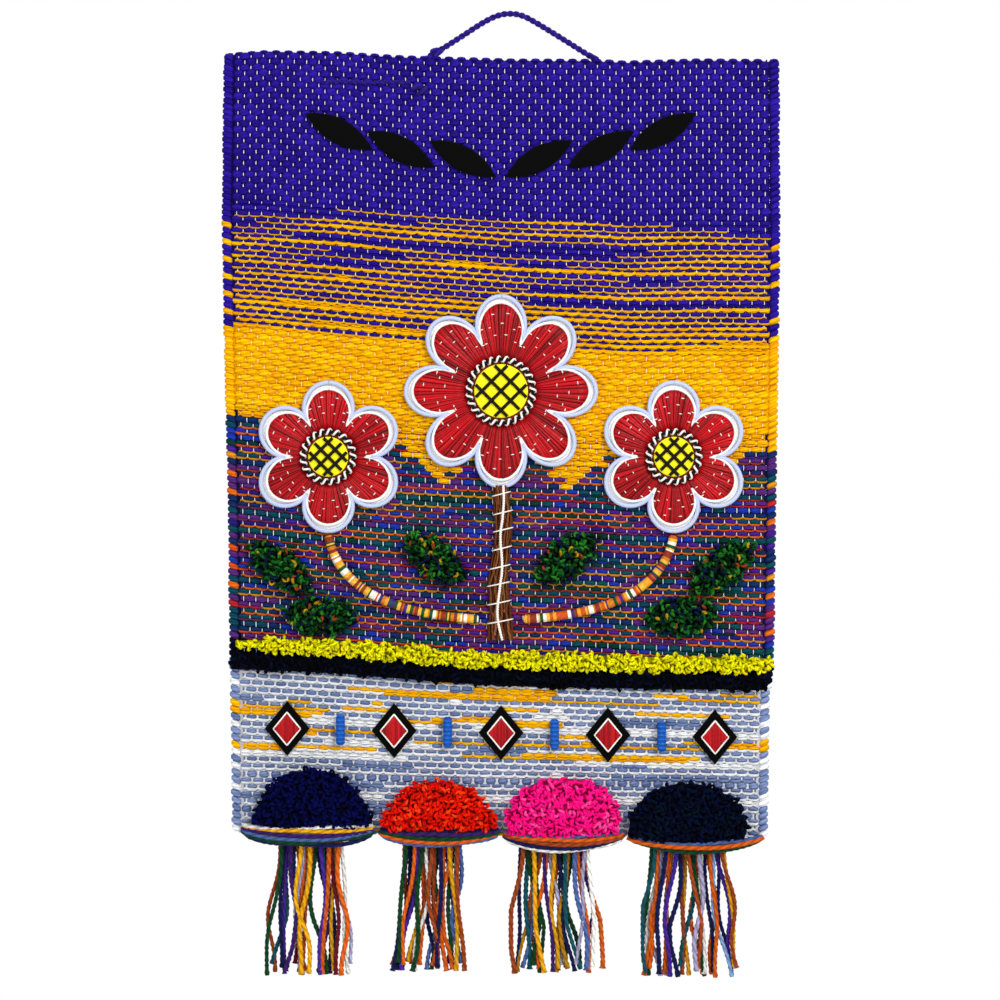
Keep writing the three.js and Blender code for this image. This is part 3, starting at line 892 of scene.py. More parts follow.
def makeNapBand():
    left, right = borderEnds()

    def height(x, up):
        return np.full(len(x), panel["sewn"] + 0.9)

    def inside(x, up):
        off = np.abs(up - borderUp(x) + napBand["below"])
        return (off < napBand["half"] - 0.6) & (x > left + 1) & (x < right - 4)

    low, high = min(border["up"]) - 20, max(border["up"])
    spots, outward = domeSpots(left, right, low, high, napBand["step"], height, inside)
    side, front = halfOval(8)
    sections = []
    for x in np.linspace(left + 0.4, right - 3.4, 30):
        up = borderUp(x) - napBand["below"] + side * napBand["half"]
        sections.append(toWorld(x, up, panel["sewn"] + front * napBand["groundDeep"]))
    makePile("nap_band_loops", napBand, spots, outward, sections, napBand["shades"][0], "navy_yarn", "nap_band")


makePileBorder()
makeNapBand()
print("borders laid")


# Pads of looped pile, each with a bundle of yarn under it and a fringe, left to right.
yarnShades = {
    "white": "#e9e7e2", "gold": "#e0a010", "mustard": "#b07a12", "orange": "#cf5a12", "rust": "#96401a",
    "maroon": "#6a1426", "purple": "#43238f", "navy": "#12184a", "teal": "#0c4a56", "green": "#0e3d1f",
    "sky": "#7fa6d8", "lilac": "#a9a3c4", "plum": "#361a5e", "steel": "#465f9a",
}
footings = [
    {"padX": -116.0, "padUp": -470.5, "padHalf": 36.5, "padRise": 32.5, "rollX": -118.0, "rollHalf": 38.6,
     "fringeX": -116.9, "fringeTop": 40, "fringeFoot": 49, "lean": 0.9, "end": -557.4, "slot": "navy_pile",
     "square": 2.6, "round": 0.92, "bulge": 1.2, "rollTall": 12.2,
     "pile": colours("#020538", "#04084a", "#01021c", "#030742"),
     "roll": "white gold plum steel green navy".split(),
     "strands": "orange rust purple navy gold white green teal orange lilac gold navy plum maroon".split()},
    {"padX": -42.0, "padUp": -472.5, "padHalf": 34.0, "padRise": 27.8, "rollX": -42.0, "rollHalf": 35.1,
     "fringeX": -46.4, "fringeTop": 36, "fringeFoot": 45, "lean": -2.9, "end": -555.0, "slot": "orange_pile",
     "square": 2.4, "round": 0.75, "bulge": 1.2, "rollTall": 9.8, "tailFrom": 0.74,
     "pile": colours("#ee1c04", "#dc1202", "#f84012", "#d01004"),
     "roll": "navy plum green orange steel".split(),
     "strands": "orange rust rust navy purple green steel green orange gold white rust navy orange".split()},
    {"padX": 29.6, "padUp": -474.6, "padHalf": 33.6, "padRise": 31.5, "rollX": 29.9, "rollHalf": 35.0,
     "fringeX": 24.4, "fringeTop": 43, "fringeFoot": 53, "lean": 0.6, "end": -556.2, "slot": "pink_pile",
     "square": 2.6, "round": 0.5, "bulge": 2.4, "rollTall": 9.8,
     "pile": colours("#ff1690", "#ff0e84", "#ff48a4", "#fc0c7e"),
     "roll": "steel orange rust navy white".split(),
     "strands": "gold orange lilac navy teal green plum white rust mustard steel orange gold green".split()},
    {"padX": 101.5, "padUp": -476.8, "padHalf": 35.0, "padRise": 31.0, "rollX": 106.2, "rollHalf": 39.4,
     "fringeX": 102.0, "fringeTop": 46, "fringeFoot": 56, "lean": 1.2, "end": -558.5, "slot": "dark_pile",
     "square": 2.3, "round": 0.5, "bulge": 4.0, "rollTall": 6.6,
     "pile": colours("#01071e", "#030c2e", "#02121e", "#020418"),
     "roll": "steel orange green".split(),
     "strands": "orange navy sky rust green lilac orange purple gold teal white orange navy rust".split()},
]
pad = {"deep": 9.6, "step": 2.05, "tail": 0.34, "weights": [4, 3, 2, 3],
       "loop": {"tall": 3.4, "wide": 2.7, "half": 0.88, "droop": 0.15, "stray": 0.32}}
roll = {"endShare": 0.46, "deep": 9.5, "endDeep": 4.3, "half": 1.28, "frontYarnEvery": 2.1, "lobes": 0.14,
        "backYarns": [(0.55, 0.1), (0.0, 0.25), (-0.5, 0.1), (0.7, -0.5), (0.0, -0.7), (-0.7, -0.5)]}
fringe = {"strands": 27, "half": 1.22, "rings": 56, "twist": 7.0, "fray": 0.3, "lobes": 0.2, "layers": 4,
          "nearest": 1.4, "layerOut": 1.7}


# A pad's lower edge bulges down over its bundle of yarn.
def padLow(footing, x):
    side = np.clip((x - footing["padX"]) / footing["padHalf"], -1, 1)
    return footing["padUp"] - footing["bulge"] * (1 - side ** 2)


def makePad(footing, number):
    def swellAt(x):
        side = np.clip((x - footing["padX"]) / footing["padHalf"], -0.999, 0.999)
        tail = np.clip((side - footing.get("tailFrom", 1)) / 0.1, 0, 1)
        return (1 - np.abs(side) ** footing["square"]) ** footing["round"] * (1 - tail) + pad["tail"] * tail

    def riseAt(x):
        return footing["padUp"] + footing["padRise"] * swellAt(x) - padLow(footing, x)

    def height(x, up):
        off = np.clip(2 * (up - padLow(footing, x)) / np.maximum(riseAt(x), 1e-3) - 1, -1, 1)
        return panel["sewn"] + pad["deep"] * np.sqrt(swellAt(x)) * np.sqrt(1 - 0.92 * off ** 2)

    def inside(x, up):
        above = up - padLow(footing, x)
        within = np.abs(x - footing["padX"]) < footing["padHalf"] - 2
        return within & (above > 1.1) & (above < riseAt(x) - 1.8)

    left, right = footing["padX"] - footing["padHalf"], footing["padX"] + footing["padHalf"]
    low, high = footing["padUp"] - footing["bulge"], footing["padUp"] + footing["padRise"]
    spots, outward = domeSpots(left, right, low, high, pad["step"], height, inside)
    side, front = halfOval(9)
    sections = []
    for share in -np.cos(np.linspace(0.3, math.pi - 0.3, 15)):
        x = footing["padX"] + share * footing["padHalf"]
        up = padLow(footing, x) - 1.4 + (riseAt(x) - 0.4) * (1 + side) / 2
        sections.append(toWorld(x, up, panel["sewn"] + front * (pad["deep"] * np.sqrt(swellAt(x)))))
    # painted shade: the ground between the loops is dyed a darkened copy of the pile
    makePile(f"pile_pad_{number}_loops", {**pad, "shades": footing["pile"]}, spots, outward, sections,
             footing["pile"][1] * 0.8, footing["slot"], f"pile_pad_{number}")


# The yarns of a bundle lie in an oval, the first of them at the top.
def makeRoll(footing, number):
    made = Bundle()
    side = np.linspace(-1, 1, 44)
    bow = 1 - side ** 2
    height = footing["rollTall"] * between(roll["endShare"], 1, np.sqrt(bow))
    deep = between(roll["endDeep"], roll["deep"], bow)
    crest = footing["padUp"] - footing["bulge"] * bow
    names = footing["roll"]
    half = roll["half"]
    spin = np.linspace(0, 2 * math.pi * footing["rollHalf"] * 2 / 8, len(side))
    frontYarns = max(3, round(footing["rollTall"] / roll["frontYarnEvery"]))
    spots = [(share, math.sqrt(1 - 0.64 * share ** 2)) for share in np.linspace(1, -1, frontYarns)]
    for k, (upShare, outShare) in enumerate(spots + roll["backYarns"]):
        wave = 0.14 * np.sin(2.6 * side + k * 1.7) + 0.07 * np.sin(5.3 * side + k * 2.9)
        up = crest - height / 2 + (upShare + wave) * (height / 2 - half * 0.9)
        out = panel["sewn"] + deep / 2 + outShare * np.maximum(deep / 2 - half * 0.9, 0.3)
        x = footing["rollX"] + side * footing["rollHalf"] * (1 - 0.035 * upShare ** 2)
        shade = linear(yarnShades[names[k % len(names)]])
        made.addStrands(toWorld(x, up, out)[None], half, half, shade, lobes=roll["lobes"], twist=spin)
    made.make(f"yarn_roll_{number}_strands", fringeYarn, "mixed_yarn", [f"yarn_roll_{number}"])


def makeFringe(footing, number):
    made = Bundle()
    count = fringe["strands"]
    names = footing["strands"]
    down = np.linspace(0, 1, fringe["rings"])
    frayed = 1 + fringe["fray"] * np.clip((down - 0.95) / 0.05, 0, 1)
    slots = (np.arange(count) + 0.5) / count - 0.5
    footOrder = np.clip(slots + 0.09 * rng.normal(size=count), -0.5, 0.5)
    for k in range(count):
        top = footing["padUp"] - footing["bulge"] * 0.7 - footing["rollTall"] * 0.55 - 1.5 * rng.random()
        end = footing["end"] - 1.0 + 6.0 * rng.random() ** 2
        xTop = footing["fringeX"] + slots[k] * (footing["fringeTop"] - 3)
        xFoot = footing["fringeX"] + footing["lean"] + footOrder[k] * (footing["fringeFoot"] - 3)
        phase = 2 * math.pi * rng.random()
        turnsDown = 0.5 + 0.7 * rng.random()
        reach = 1.4 + 3.6 * rng.random() ** 1.4
        sway = reach * (np.sin(2 * math.pi * turnsDown * down + phase) - math.sin(phase))
        sway = np.clip(sway * np.minimum(1, 1.6 * down), -6, 6)
        x = between(xTop, xFoot, down ** 1.2) + sway * (1 - 0.5 * down ** 3)
        out = fringe["nearest"] + k * 3 % fringe["layers"] * fringe["layerOut"]
        out = out + 0.4 * np.sin(2 * math.pi * (0.8 * down + rng.random()))
        shade = linear(yarnShades[names[(k * 5 + number) % len(names)]]) * (0.8 + 0.35 * rng.random())
        otherPly = linear(yarnShades[names[(k * 3 + 2) % len(names)]]) if k % 4 == 1 else shade * 0.72
        plies = np.array([shade] * 3 + [otherPly] * 3)[None, None]
        spin = 2 * math.pi * (top - end) / fringe["twist"] * down
        half = fringe["half"] * (0.9 + 0.25 * rng.random()) * frayed
        line = toWorld(x, between(top, end, down), out)
        made.addStrands(line[None], half, half, plies, lobes=fringe["lobes"], twist=spin)
    return made.make(f"fringe_{number}_strands", fringeYarn, "mixed_yarn", [f"fringe_{number}"])


for number, footing in enumerate(footings, 1):
    makePad(footing, number)
    makeRoll(footing, number)
    makeFringe(footing, number)
print("pads, yarn bundles and fringes made")


# A flat piece of felt cut to an outline about its own middle, with a soft edge.
def addPlate(bundle, outline, middle, back, thick, dye, puff=0.15, soft=0.5):
    inner = 1 - soft / np.linalg.norm(outline, axis=1).mean()
    rings = [(0.02, 0), (inner, 0), (1, 0.3 * thick), (1, 0.7 * thick), (inner, thick)]
    rings += [(share, thick + puff) for share in (0.8, 0.5, 0.2, 0.02)]
    x, up = outline.T
    points = [toWorld(middle[0] + x * share, middle[1] + up * share, back + out) for share, out in rings]
    bundle.addRings(np.stack(points)[None], dye)


def turned(outline, angle):
    c, s = math.cos(angle), math.sin(angle)
    return outline @ np.array([[c, s], [-s, c]])


# Cloth cut flat and sewn down, made as one plate of felt.
def feltPiece(name, outline, middle, back, thick, dye, slot, node):
    made = Bundle()
    addPlate(made, outline, middle, back, thick, dye)
    piece = made.make(name, felt, slot, [node])


feltBack = panel["sewn"] - 0.3  # felt sewn to the cloth presses a little into it
hands = ((-1, "left"), (1, "right"))
feltLeaf = {"length": 44, "half": 7.2, "up": -86, "curl": 0.0019, "tilt": 0.5, "columns": [22, 58, 94],
            "thick": 1.4, "ragged": 0.012, "dye": linear("#030303")}


def leafOutline(length, half, count=28):
    t = np.linspace(0, 1, count, endpoint=False)
    x = -length / 2 + length * t
    y = 4 * half * t * (1 - t)
    return np.concatenate([np.stack([x, y], -1), np.stack([-x, -y], -1)])


def makeFeltLeaves():
    for side, hand in hands:
        for k, column in enumerate(feltLeaf["columns"], 1):
            outline = leafOutline(feltLeaf["length"], feltLeaf["half"])
            outline = outline * (1 + feltLeaf["ragged"] * rng.normal(size=(len(outline), 1)))
            outline = turned(outline, side * feltLeaf["tilt"])
            middle = (panel["centre"] + side * column, feltLeaf["up"] + feltLeaf["curl"] * column ** 2)
            feltPiece(f"black_leaf_{hand}_{k}", outline, middle, feltBack, feltLeaf["thick"], feltLeaf["dye"],
                      "black_felt", f"felt_leaf_{hand}_{k}")


makeFeltLeaves()


bigFlower = {"petals": 8, "reach": 56, "valley": 33, "ring": 18.5, "eye": 15.6}
smallFlower = {"petals": 6, "reach": 44, "valley": 25, "ring": 14.5, "eye": 11.6}
flowers = [
    {"name": "middle", "x": 0, "up": -220, **bigFlower},
    {"name": "left", "x": -100, "up": -258, **smallFlower},
    {"name": "right", "x": 100, "up": -258, **smallFlower},
]
petal = {
    "margin": 4.6,
    "round": 0.55,
    "felt": 1.4,
    "thread": 1.0,
    "threads": 22,  # to a petal
    "edgeHalf": 1.3,
    "innerEdgeHalf": 0.85,
    "ringHalf": 1.7,
    "ringWrap": 4.2,
    "red": colours("#b0000e", "#98000a", "#c20612", "#7e0006"),
    "redWeights": [4, 3, 2, 1],
    "white": linear("#f1f0ea"),
    "pale": linear("#b9c3e4"),
    "black": linear("#040404"),
    "yellow": linear("#f4ec22"),
    "bar": linear("#120a05"),
}


def flowerReach(angle, flower, margin=0.0):
    turn = (angle - math.pi / 2) / (2 * math.pi)
    swell = np.abs(np.cos(math.pi * flower["petals"] * turn)) ** petal["round"]
    return flower["valley"] - margin + (flower["reach"] - flower["valley"]) * swell


def flowerOutline(flower, margin=0.0, count=192):
    angle = np.arange(count) / count * 2 * math.pi + math.pi / 2
    reach = flowerReach(angle, flower, margin)
    return np.stack([reach * np.cos(angle), reach * np.sin(angle)], -1)
petalLevel = panel["sewn"] + petal["felt"]


# A closed line of (x, up) points about a middle, for a cord sewn down along it.
def edgingLine(outline, middle, out):
    closed = np.concatenate([outline, outline[:1]])
    return np.column_stack([closed + np.array(middle), np.full(len(closed), out)])


# Points about a middle, at a distance and in a direction.
def aboutMiddle(middle, radius, angle, out):
    x, up = middle[0] + radius * np.cos(angle), middle[1] + radius * np.sin(angle)
    return np.stack(np.broadcast_arrays(x, up, out), -1)


def stitchPetals(flower, middle, name):
    made = Bundle()
    addPlate(made, flowerOutline(flower, petal["margin"]) * 0.985, middle, petalLevel, 0.7, petal["red"][3])
    count = flower["petals"] * petal["threads"]
    angle = (np.arange(count) + 0.5) / count * 2 * math.pi + math.pi / 2
    along = np.linspace(0, 1, 6)
    far = flowerReach(angle, flower, petal["margin"]) - 0.2 - 0.5 * rng.random(count)
    near = flower["ring"] + 1.2
    radius = near + (far - near)[:, None] * along
    bent = angle[:, None] + 0.01 * rng.normal(size=(count, 1))
    lift = petalLevel + 0.75 + 0.5 * np.sin(math.pi * along) + 0.12 * rng.normal(size=(count, 1))
    lines = lineToWorld(aboutMiddle(middle, radius, bent, lift))
    wide = radius * math.pi / count * 1.25
    made.addStrands(lines, wide, 0.55, pickDyes(petal["red"], petal["redWeights"], count), 5)
    made.make(f"flower_{name}_satin", satinThread, "red_stitching", [f"flower_{name}_petals"])

    ties = Bundle()
    perRound = flower["petals"] * 4
    step = np.linspace(-1, 1, 5)
    for share, off in ((0.42, 0.0), (0.62, 0.35), (0.82, 0.0)):
        at = np.arange(perRound) / perRound * 2 * math.pi + math.pi / 2 + 0.11 + off * 0.2
        reach = between(near, flowerReach(at, flower, petal["margin"]), share)[:, None]
        tie = aboutMiddle(middle, reach, at[:, None] + step * 0.9 / reach, petalLevel + 1.75 - 0.7 * step ** 2)
        ties.addStrands(lineToWorld(tie), 0.32, 0.3, petal["white"], 5)
    ties.make(f"flower_{name}_ties", satinThread, "white_felt")


def edgeFlower(flower, middle, name):
    edging = Bundle()
    for margin, out, half, dye in ((0.9, 0.7, petal["edgeHalf"], petal["pale"]),
                                   (petal["margin"], 1.0, petal["innerEdgeHalf"], petal["white"])):
        line = edgingLine(flowerOutline(flower, margin), middle, petalLevel + out)
        line, _ = evenly(line, flower["petals"] * 44)
        edging.addStrands(lineToWorld(line)[None], half, half, dye)
    edging.make(f"flower_{name}_edging", wrapThread, "white_felt")

    ring = Bundle()
    ringOut = petalLevel + petal["thread"] + 2.3
    circle = aboutMiddle(middle, flower["ring"], np.linspace(0, 2 * math.pi, 97), ringOut)
    twistedCord(ring, circle, petal["ringHalf"], 1, 12, [petal["black"]], 10, 12)
    wraps = int(flower["ring"] * 2 * math.pi / petal["ringWrap"])
    wind = np.linspace(0, 2 * math.pi, wraps * 9 + 1)
    tube = petal["ringHalf"] - 0.08
    radius = flower["ring"] + tube * np.cos(wraps * wind)
    helix = aboutMiddle(middle, radius, wind, ringOut + tube * np.sin(wraps * wind))
    ring.addStrands(lineToWorld(helix)[None], 0.62, 0.42, petal["white"])
    ring.make(f"flower_{name}_striped_ring", wrapThread, "striped_cord", [f"flower_{name}_ring"])


def addEye(flower, middle, name):
    back = petalLevel + petal["thread"] + 0.8
    turn = np.linspace(0, 2 * math.pi, 97)[:-1]
    disc = np.stack([np.cos(turn), np.sin(turn)], -1) * flower["eye"]
    feltPiece(f"flower_{name}_yellow", disc, middle, back, petal["felt"], petal["yellow"], "yellow_felt",
              f"flower_{name}_eye")
    bars = Bundle()
    for lean, over in ((math.pi / 4, 0.5), (-math.pi / 4, 0.0)):
        c, s = math.cos(lean), math.sin(lean)
        for off in (-0.5, 0.0, 0.5):
            halfLong = math.sqrt(1 - off ** 2) * (flower["eye"] - 0.6)
            x = np.linspace(-1, 1, int(halfLong * 2 / 0.55)) * halfLong
            y = off * flower["eye"]
            out = back + petal["felt"] + 0.75 + over
            line = toWorld(middle[0] + x * c - y * s, middle[1] + x * s + y * c, out)
            bars.addStrands(line[None], 0.95, 0.8, petal["bar"])
    bars.make(f"flower_{name}_lattice", wrapThread, "brown_yarn")


def makeFlower(flower):
    name = flower["name"]
    middle = (panel["centre"] + flower["x"], flower["up"])
    feltPiece(f"flower_{name}_felt", flowerOutline(flower), middle, feltBack, petal["felt"], petal["white"],
              "white_felt", f"flower_{name}_ground")
    stitchPetals(flower, middle, name)
    edgeFlower(flower, middle, name)
    addEye(flower, middle, name)


for flower in flowers:
    makeFlower(flower)
print("leaves and flowers sewn")


stem = {
    "up": [-277.5, -295, -313, -331, -348, -366],
    "sway": [0.0, 1.6, 0.4, -1.6, -0.8, 0.6],
    "half": [5.0, 5.6, 5.4, 6.2, 6.8, 8.4],
    "deep": 5.0,
    "yarns": 11,
    "yarnHalf": 0.95,
    "tieEvery": 10.5,
    "shades": colours("#5a3018", "#7a4526", "#432010", "#8a5532", "#6a3a20"),
    "white": linear("#efece4"),
}


def makeMiddleStem():
    made = Bundle()
    up = np.linspace(stem["up"][0] + 3, stem["up"][-1] + 2, 60)
    fall = [-u for u in stem["up"]]
    middle = panel["centre"] + np.interp(-up, fall, stem["sway"])
    half = np.interp(-up, fall, stem["half"])
    for k in range(stem["yarns"]):
        share = (k + 0.5) / stem["yarns"] * 2 - 1
        wobble = 0.1 * np.sin(up * 0.16 + k * 1.9) + 0.05 * np.sin(up * 0.5 + k)
        across = np.clip(share + wobble, -0.97, 0.97)
        out = panel["sewn"] + (stem["deep"] - 1.6) * np.sqrt(1 - across ** 2) + 0.2
        line = toWorld(middle + across * (half - 0.6), up, out)
        made.addStrands(line[None], half / stem["yarns"] * 1.25, stem["yarnHalf"], stem["shades"][k % 5])
    shape, front = halfOval(8)
    sections = []
    for u, m, h in zip(up[::6], middle[::6], half[::6]):
        sections.append(toWorld(m + shape * (h - 1.0), u, panel["sewn"] + front * (stem["deep"] - 1.8)))
    # painted shade: the core between the stem yarns is dyed a darkened copy of a stem shade
    made.addRings(np.stack(sections)[None], stem["shades"][2] * 0.5)
    made.make("stem_yarns", pileYarn, "brown_yarn", ["middle_stem"])

    couching = Bundle()
    out = panel["sewn"] + stem["deep"] - 0.7
    line = np.stack([middle + 1.4 * np.sin(up * 0.13), up, np.full(len(up), out)], -1)
    twistedCord(couching, line, 0.8, 2, 3.0, [stem["white"]], 6, 6)
    t = np.linspace(-1, 1, 14)
    out = panel["sewn"] + 0.2 + (stem["deep"] - 0.5) * np.sqrt(1 - 0.96 * t ** 2)
    for place in np.arange(up[0] - 5, up[-1] + 3, -stem["tieEvery"]):
        m, h = np.interp(-place, -up, middle), np.interp(-place, -up, half)
        tie = toWorld(m + t * (h + 0.2), place + 1.4 * t + 0.3 * np.sin(place), out)
        couching.addStrands(tie[None], 0.42, 0.42, stem["white"], 5)
    couching.make("stem_couching", warpThread, "white_felt")


sideStem = {
    "half": 2.6,
    "bends": [(100, -303.5), (92, -348), (13, -352)],
    "wrap": 0.95,
    "shades": colours("#c9741a", "#e0b03a", "#1f4a24", "#ece6d8", "#8a2f1c", "#e59a28", "#3a2a70", "#c2501c"),
}


# Thread wound closely round a core, one ridge to each turn. dyeOf gives a turn's dye.
def addWrapped(bundle, line, half, wrap, dyeOf):
    _, length = evenly(line, 10)
    windings = int(length / wrap)
    centre, _ = evenly(line, windings * 3 + 1)
    ridge = np.append(np.tile([0.97, 1.0, 1.0], windings), 0.97)
    fromEnd = np.minimum(np.arange(len(ridge)), np.arange(len(ridge))[::-1])
    ridge = half * ridge * np.minimum(1, fromEnd / 4 * 0.4 + 0.6)
    dye = np.repeat(np.array([dyeOf(k) for k in range(windings)]), 3, 0)
    bundle.addStrands(lineToWorld(centre)[None], ridge, ridge, dye[None, :, None], 10)


def makeSideStems():
    t = np.linspace(0, 1, 80)[:, None]
    a, b, c = np.array(sideStem["bends"])
    curve = (1 - t) ** 2 * a + 2 * t * (1 - t) * b + t ** 2 * c
    out = np.full(len(t), panel["sewn"] + sideStem["half"])
    for side, hand in hands:
        made = Bundle()
        line = np.column_stack([panel["centre"] + side * curve[:, 0], curve[:, 1], out])
        shades = sideStem["shades"][rng.integers(0, len(sideStem["shades"]), 60)]
        shades = np.repeat(shades, rng.integers(1, 3, 60), 0)
        addWrapped(made, line, sideStem["half"], sideStem["wrap"], lambda k: shades[k % len(shades)])
        made.make(f"wrapped_stem_{hand}", wrapThread, "wrapped_yarn", [f"side_stem_{hand}"])


pileLeaf = {
    "half": 23,
    "halfWide": 11,
    "pointed": 2.2,
    "deep": 4.6,
    "groundDeep": 4.0,
    "step": 2.25,
    "loop": {"tall": 3.4, "wide": 2.4, "half": 0.86, "droop": 0.0, "stray": 0.45},
    "places": [("inner", 38, -317, 0.62), ("outer", 128, -322, 0.62), ("lower", 104, -350, 0.1)],
    "shades": colours("#0c3a14", "#155a1e", "#0a2412", "#2a7a22", "#0c1a3a", "#b08a1a", "#8a3a18"),
    "weights": [6, 5, 5, 3, 3, 1, 0.6],
}


def leafSwell(x):
    return np.maximum(1 - np.clip(np.abs(x / pileLeaf["half"]), 0, 1) ** pileLeaf["pointed"], 1e-3)


def leafHeight(x, up):
    off = np.clip(up / (pileLeaf["halfWide"] * leafSwell(x)), -1, 1)
    return pileLeaf["deep"] * np.sqrt(leafSwell(x)) * np.sqrt(1 - 0.9 * off ** 2)


def inLeaf(x, up):
    return np.abs(up) < pileLeaf["halfWide"] * leafSwell(x) - 0.6


def makePileLeaves():
    long, wide = pileLeaf["half"], pileLeaf["halfWide"]
    shape, front = halfOval(8)
    for side, hand in hands:
        for name, x0, up0, tilt in pileLeaf["places"]:
            spots, outward = domeSpots(-long, long, -wide, wide, pileLeaf["step"], leafHeight, inLeaf)
            c, s = math.cos(side * tilt), math.sin(side * tilt)
            spin = np.array([[c, 0, -s], [0, 1, 0], [s, 0, c]]).T
            place = toWorld(panel["centre"] + side * x0, up0, panel["sewn"])
            sections = []
            for x in np.linspace(-0.9, 0.9, 11) * long:
                out = front * pileLeaf["groundDeep"] * np.sqrt(leafSwell(x))
                sections.append(toWorld(x, shape * (wide * leafSwell(x) - 0.9), out) @ spin + place)
            # painted shade: the ground between the loops is dyed a darkened copy of a leaf shade
            makePile(f"pile_leaf_{name}_{hand}_loops", pileLeaf, spots @ spin + place, outward @ spin, sections,
                     pileLeaf["shades"][2] * 0.4, "green_pile", f"pile_leaf_{name}_{hand}")


makeMiddleStem()
makeSideStems()
makePileLeaves()
print("stems and pile leaves sewn")


lozenge = {"columns": [-124, -62, 0, 62, 124], "up": -418, "fall": 0.02, "halfWide": 13, "halfTall": 16,
           "inner": 0.56, "rim": 1.06, "thick": 1.4, "threads": 17}
bar = {"columns": [-93, -31, 31, 93], "half": 2.6, "length": 18.2, "wrap": 0.8,
       "shades": colours("#0f4fa8", "#1763c4", "#0c4290")}


def lozengeOutline(share, perSide=10):
    corners = np.array([[1, 0], [0, 1], [-1, 0], [0, -1], [1, 0]])
    corners = corners * [lozenge["halfWide"] * share, lozenge["halfTall"] * share]
    t = np.linspace(0, 4, 4 * perSide, endpoint=False)
    return np.stack([np.interp(t, range(5), corners[:, k]) for k in (0, 1)], -1)


def makeLozenges():
    inner, count = lozenge["inner"], lozenge["threads"]
    halfWide, halfTall = lozenge["halfWide"] * inner, lozenge["halfTall"] * inner
    level = panel["sewn"] + lozenge["thick"] + 0.1
    at = (np.arange(count) + 0.5) / count * 2 - 1
    step = np.linspace(-1, 1, 7)
    along = (halfTall * (1 - np.abs(at)) + 0.3)[:, None] * step
    out = level + 0.6 + 0.55 * np.sqrt(1 - 0.9 * step ** 2)
    for k, x in enumerate(lozenge["columns"], 1):
        middle = (panel["centre"] + x, lozenge["up"] - lozenge["fall"] * x)
        feltPiece(f"black_lozenge_{k}", lozengeOutline(1), middle, feltBack, lozenge["thick"],
                  petal["black"] * 0.6, "black_felt", f"lozenge_{k}_felt")
        made = Bundle()
        addPlate(made, lozengeOutline(inner) * 0.96, middle, level, 0.6, petal["red"][3])
        lines = toWorld(middle[0] + (at * halfWide)[:, None], middle[1] + along, out)
        dye = pickDyes(petal["red"], petal["redWeights"], count)
        made.addStrands(lines, halfWide / count * 1.25, 0.5, dye)
        made.make(f"lozenge_{k}_satin", satinThread, "red_stitching", [f"lozenge_{k}_stitched"])
        rim = Bundle()
        line = edgingLine(lozengeOutline(inner * lozenge["rim"]), middle, level + 0.8)
        twistedCord(rim, line, 0.95, 1, 4.0, [petal["white"]], 6, 6)
        rim.make(f"lozenge_{k}_rim", wrapThread, "white_felt")


def makeBars():
    halfLong = bar["length"] / 2 - 0.4
    out = panel["sewn"] + bar["half"]
    for k, x in enumerate(bar["columns"], 1):
        made = Bundle()
        up = lozenge["up"] - lozenge["fall"] * x
        line = np.array([[panel["centre"] + x, up + end, out] for end in (halfLong, -halfLong)])
        addWrapped(made, line, bar["half"], bar["wrap"], lambda j: bar["shades"][(j * 7 + k) % 3])
        made.make(f"blue_bar_{k}", wrapThread, "blue_yarn", [f"wrapped_bar_{k}"])


makeLozenges()
makeBars()
print("lozenges and bars sewn")


# The stitch that ties the cord's end down on the front, and its knot.
hemStitch = {
    "line": [(-110, -40.6), (-98, -40.1), (-84, -40.9), (-70, -40.4), (-59, -40.8)],
    "out": 4.4,
    "half": 1.2,
    "pitch": 5.5,
    "knot": {"at": (-53.5, -45.0, 4.9), "wide": 9.0, "tall": 5.5, "half": 1.15, "turns": 1.6, "lean": 0.5},
}


def makeHemStitch():
    made = Bundle()
    line = np.column_stack([smoothLine(hemStitch["line"], 40), np.full(40, hemStitch["out"])])
    twistedCord(made, line, hemStitch["half"], 2, hemStitch["pitch"], cord["shades"], 6, 6)
    addKnot(made, hemStitch["knot"], cord["shades"][1])
    return made.make("hem_stitch", fringeYarn, "purple_yarn")


stitch = makeHemStitch()
clothLength * 0.001


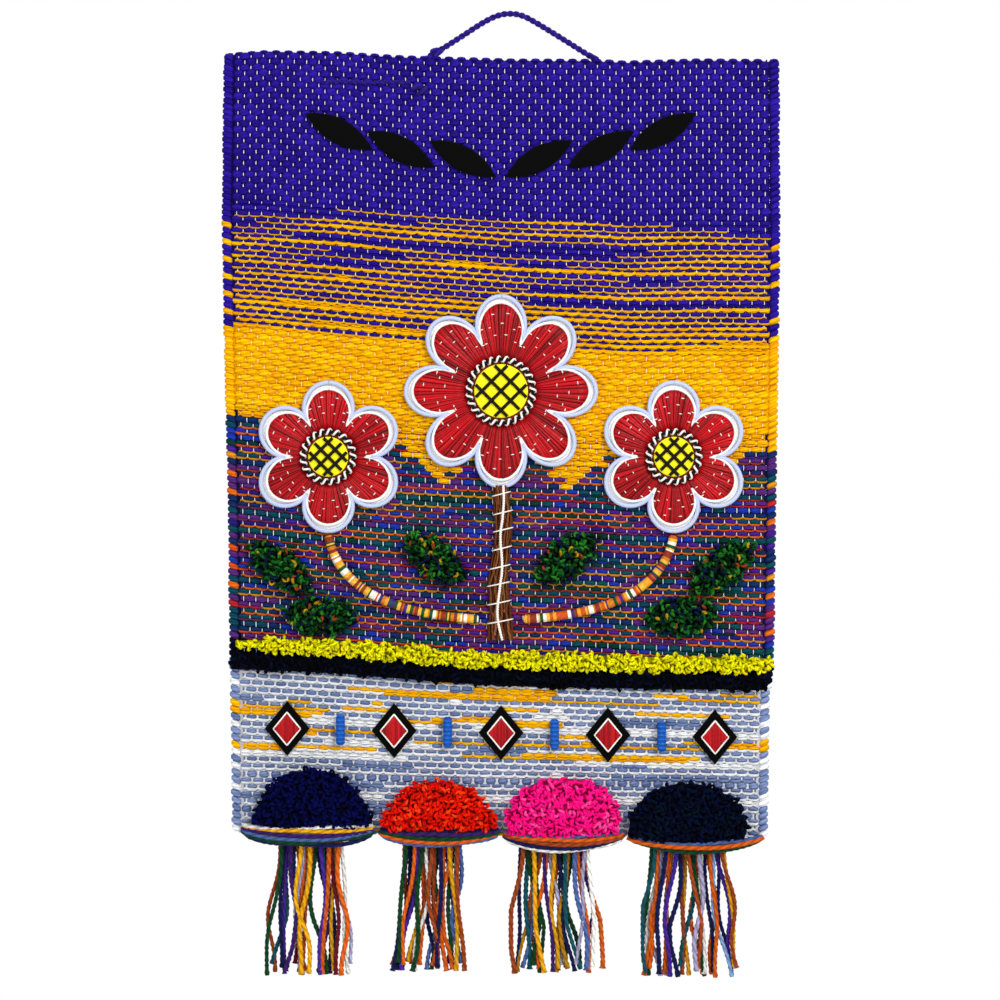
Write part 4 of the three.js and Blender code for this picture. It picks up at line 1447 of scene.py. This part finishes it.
# A pale floor well below, a white surround and soft lamps.
studio = {
    "floorUp": -760,
    "floorHalf": 620,
    "floorPale": [(0.80, 0.80, 0.79, 1), (0.84, 0.84, 0.83, 1)],
    "surround": 0.78,
    "aim": (-0.006, 0, -0.28),
    "lamps": [{"name": "keyLamp", "at": (0.75, -1.3, 0.55), "size": 0.6, "power": 20},
              {"name": "fillLamp", "at": (-1.1, -1.5, -0.1), "size": 1.2, "power": 8},
              {"name": "backLamp", "at": (0.5, 1.4, 0.5), "size": 1.2, "power": 12}],
}


def layFloor():
    turn = np.linspace(0, 2 * math.pi, 64, endpoint=False)
    rim = toWorld(studio["floorHalf"] * np.cos(turn), studio["floorUp"], -studio["floorHalf"] * np.sin(turn))
    floor = bpy.data.meshes.new("floor")
    floor.from_pydata(rim.tolist(), [], [list(range(len(turn)))])
    piece = bpy.data.objects.new("floor", floor)
    bpy.context.collection.objects.link(piece)
    pale = Finish("paleFloor", Roughness=0.9)
    pale.paint(pale.mix(pale.noise(pale.place(), 30), *studio["floorPale"]))
    floor.materials.append(pale.material)


# The camera sees the surround at full white, and the hanging is lit by it less strongly.
def lightSurround():
    world = bpy.data.worlds.new("studio")
    world.use_nodes = True
    tree = world.node_tree
    background = tree.nodes["Background"].inputs
    background["Color"].default_value = (1, 1, 1, 1)
    seen = tree.nodes.new("ShaderNodeLightPath")
    level = tree.nodes.new("ShaderNodeMapRange")
    level.inputs["To Min"].default_value = studio["surround"]
    tree.links.new(seen.outputs["Is Camera Ray"], level.inputs["Value"])
    tree.links.new(level.outputs["Result"], background["Strength"])
    bpy.context.scene.world = world


def setStudio():
    layFloor()
    lightSurround()
    for lamp in studio["lamps"]:
        data = bpy.data.lights.new(lamp["name"], "AREA")
        data.energy = lamp["power"]
        data.size = lamp["size"]
        light = bpy.data.objects.new(lamp["name"], data)
        light.location = lamp["at"]
        x, y, z = np.array(lamp["at"]) - np.array(studio["aim"])
        light.rotation_euler = (math.atan2(math.hypot(x, y), z), 0, math.atan2(y, x) + math.pi / 2)
        bpy.context.collection.objects.link(light)
    bpy.context.scene.view_settings.view_transform = "Standard"


setStudio()
meshes = [piece.data for piece in bpy.data.objects if piece.type == "MESH" and not piece.hide_render]
triangles = sum(len(face.vertices) - 2 for mesh in meshes for face in mesh.polygons)
print("studio set,", triangles, "triangles")
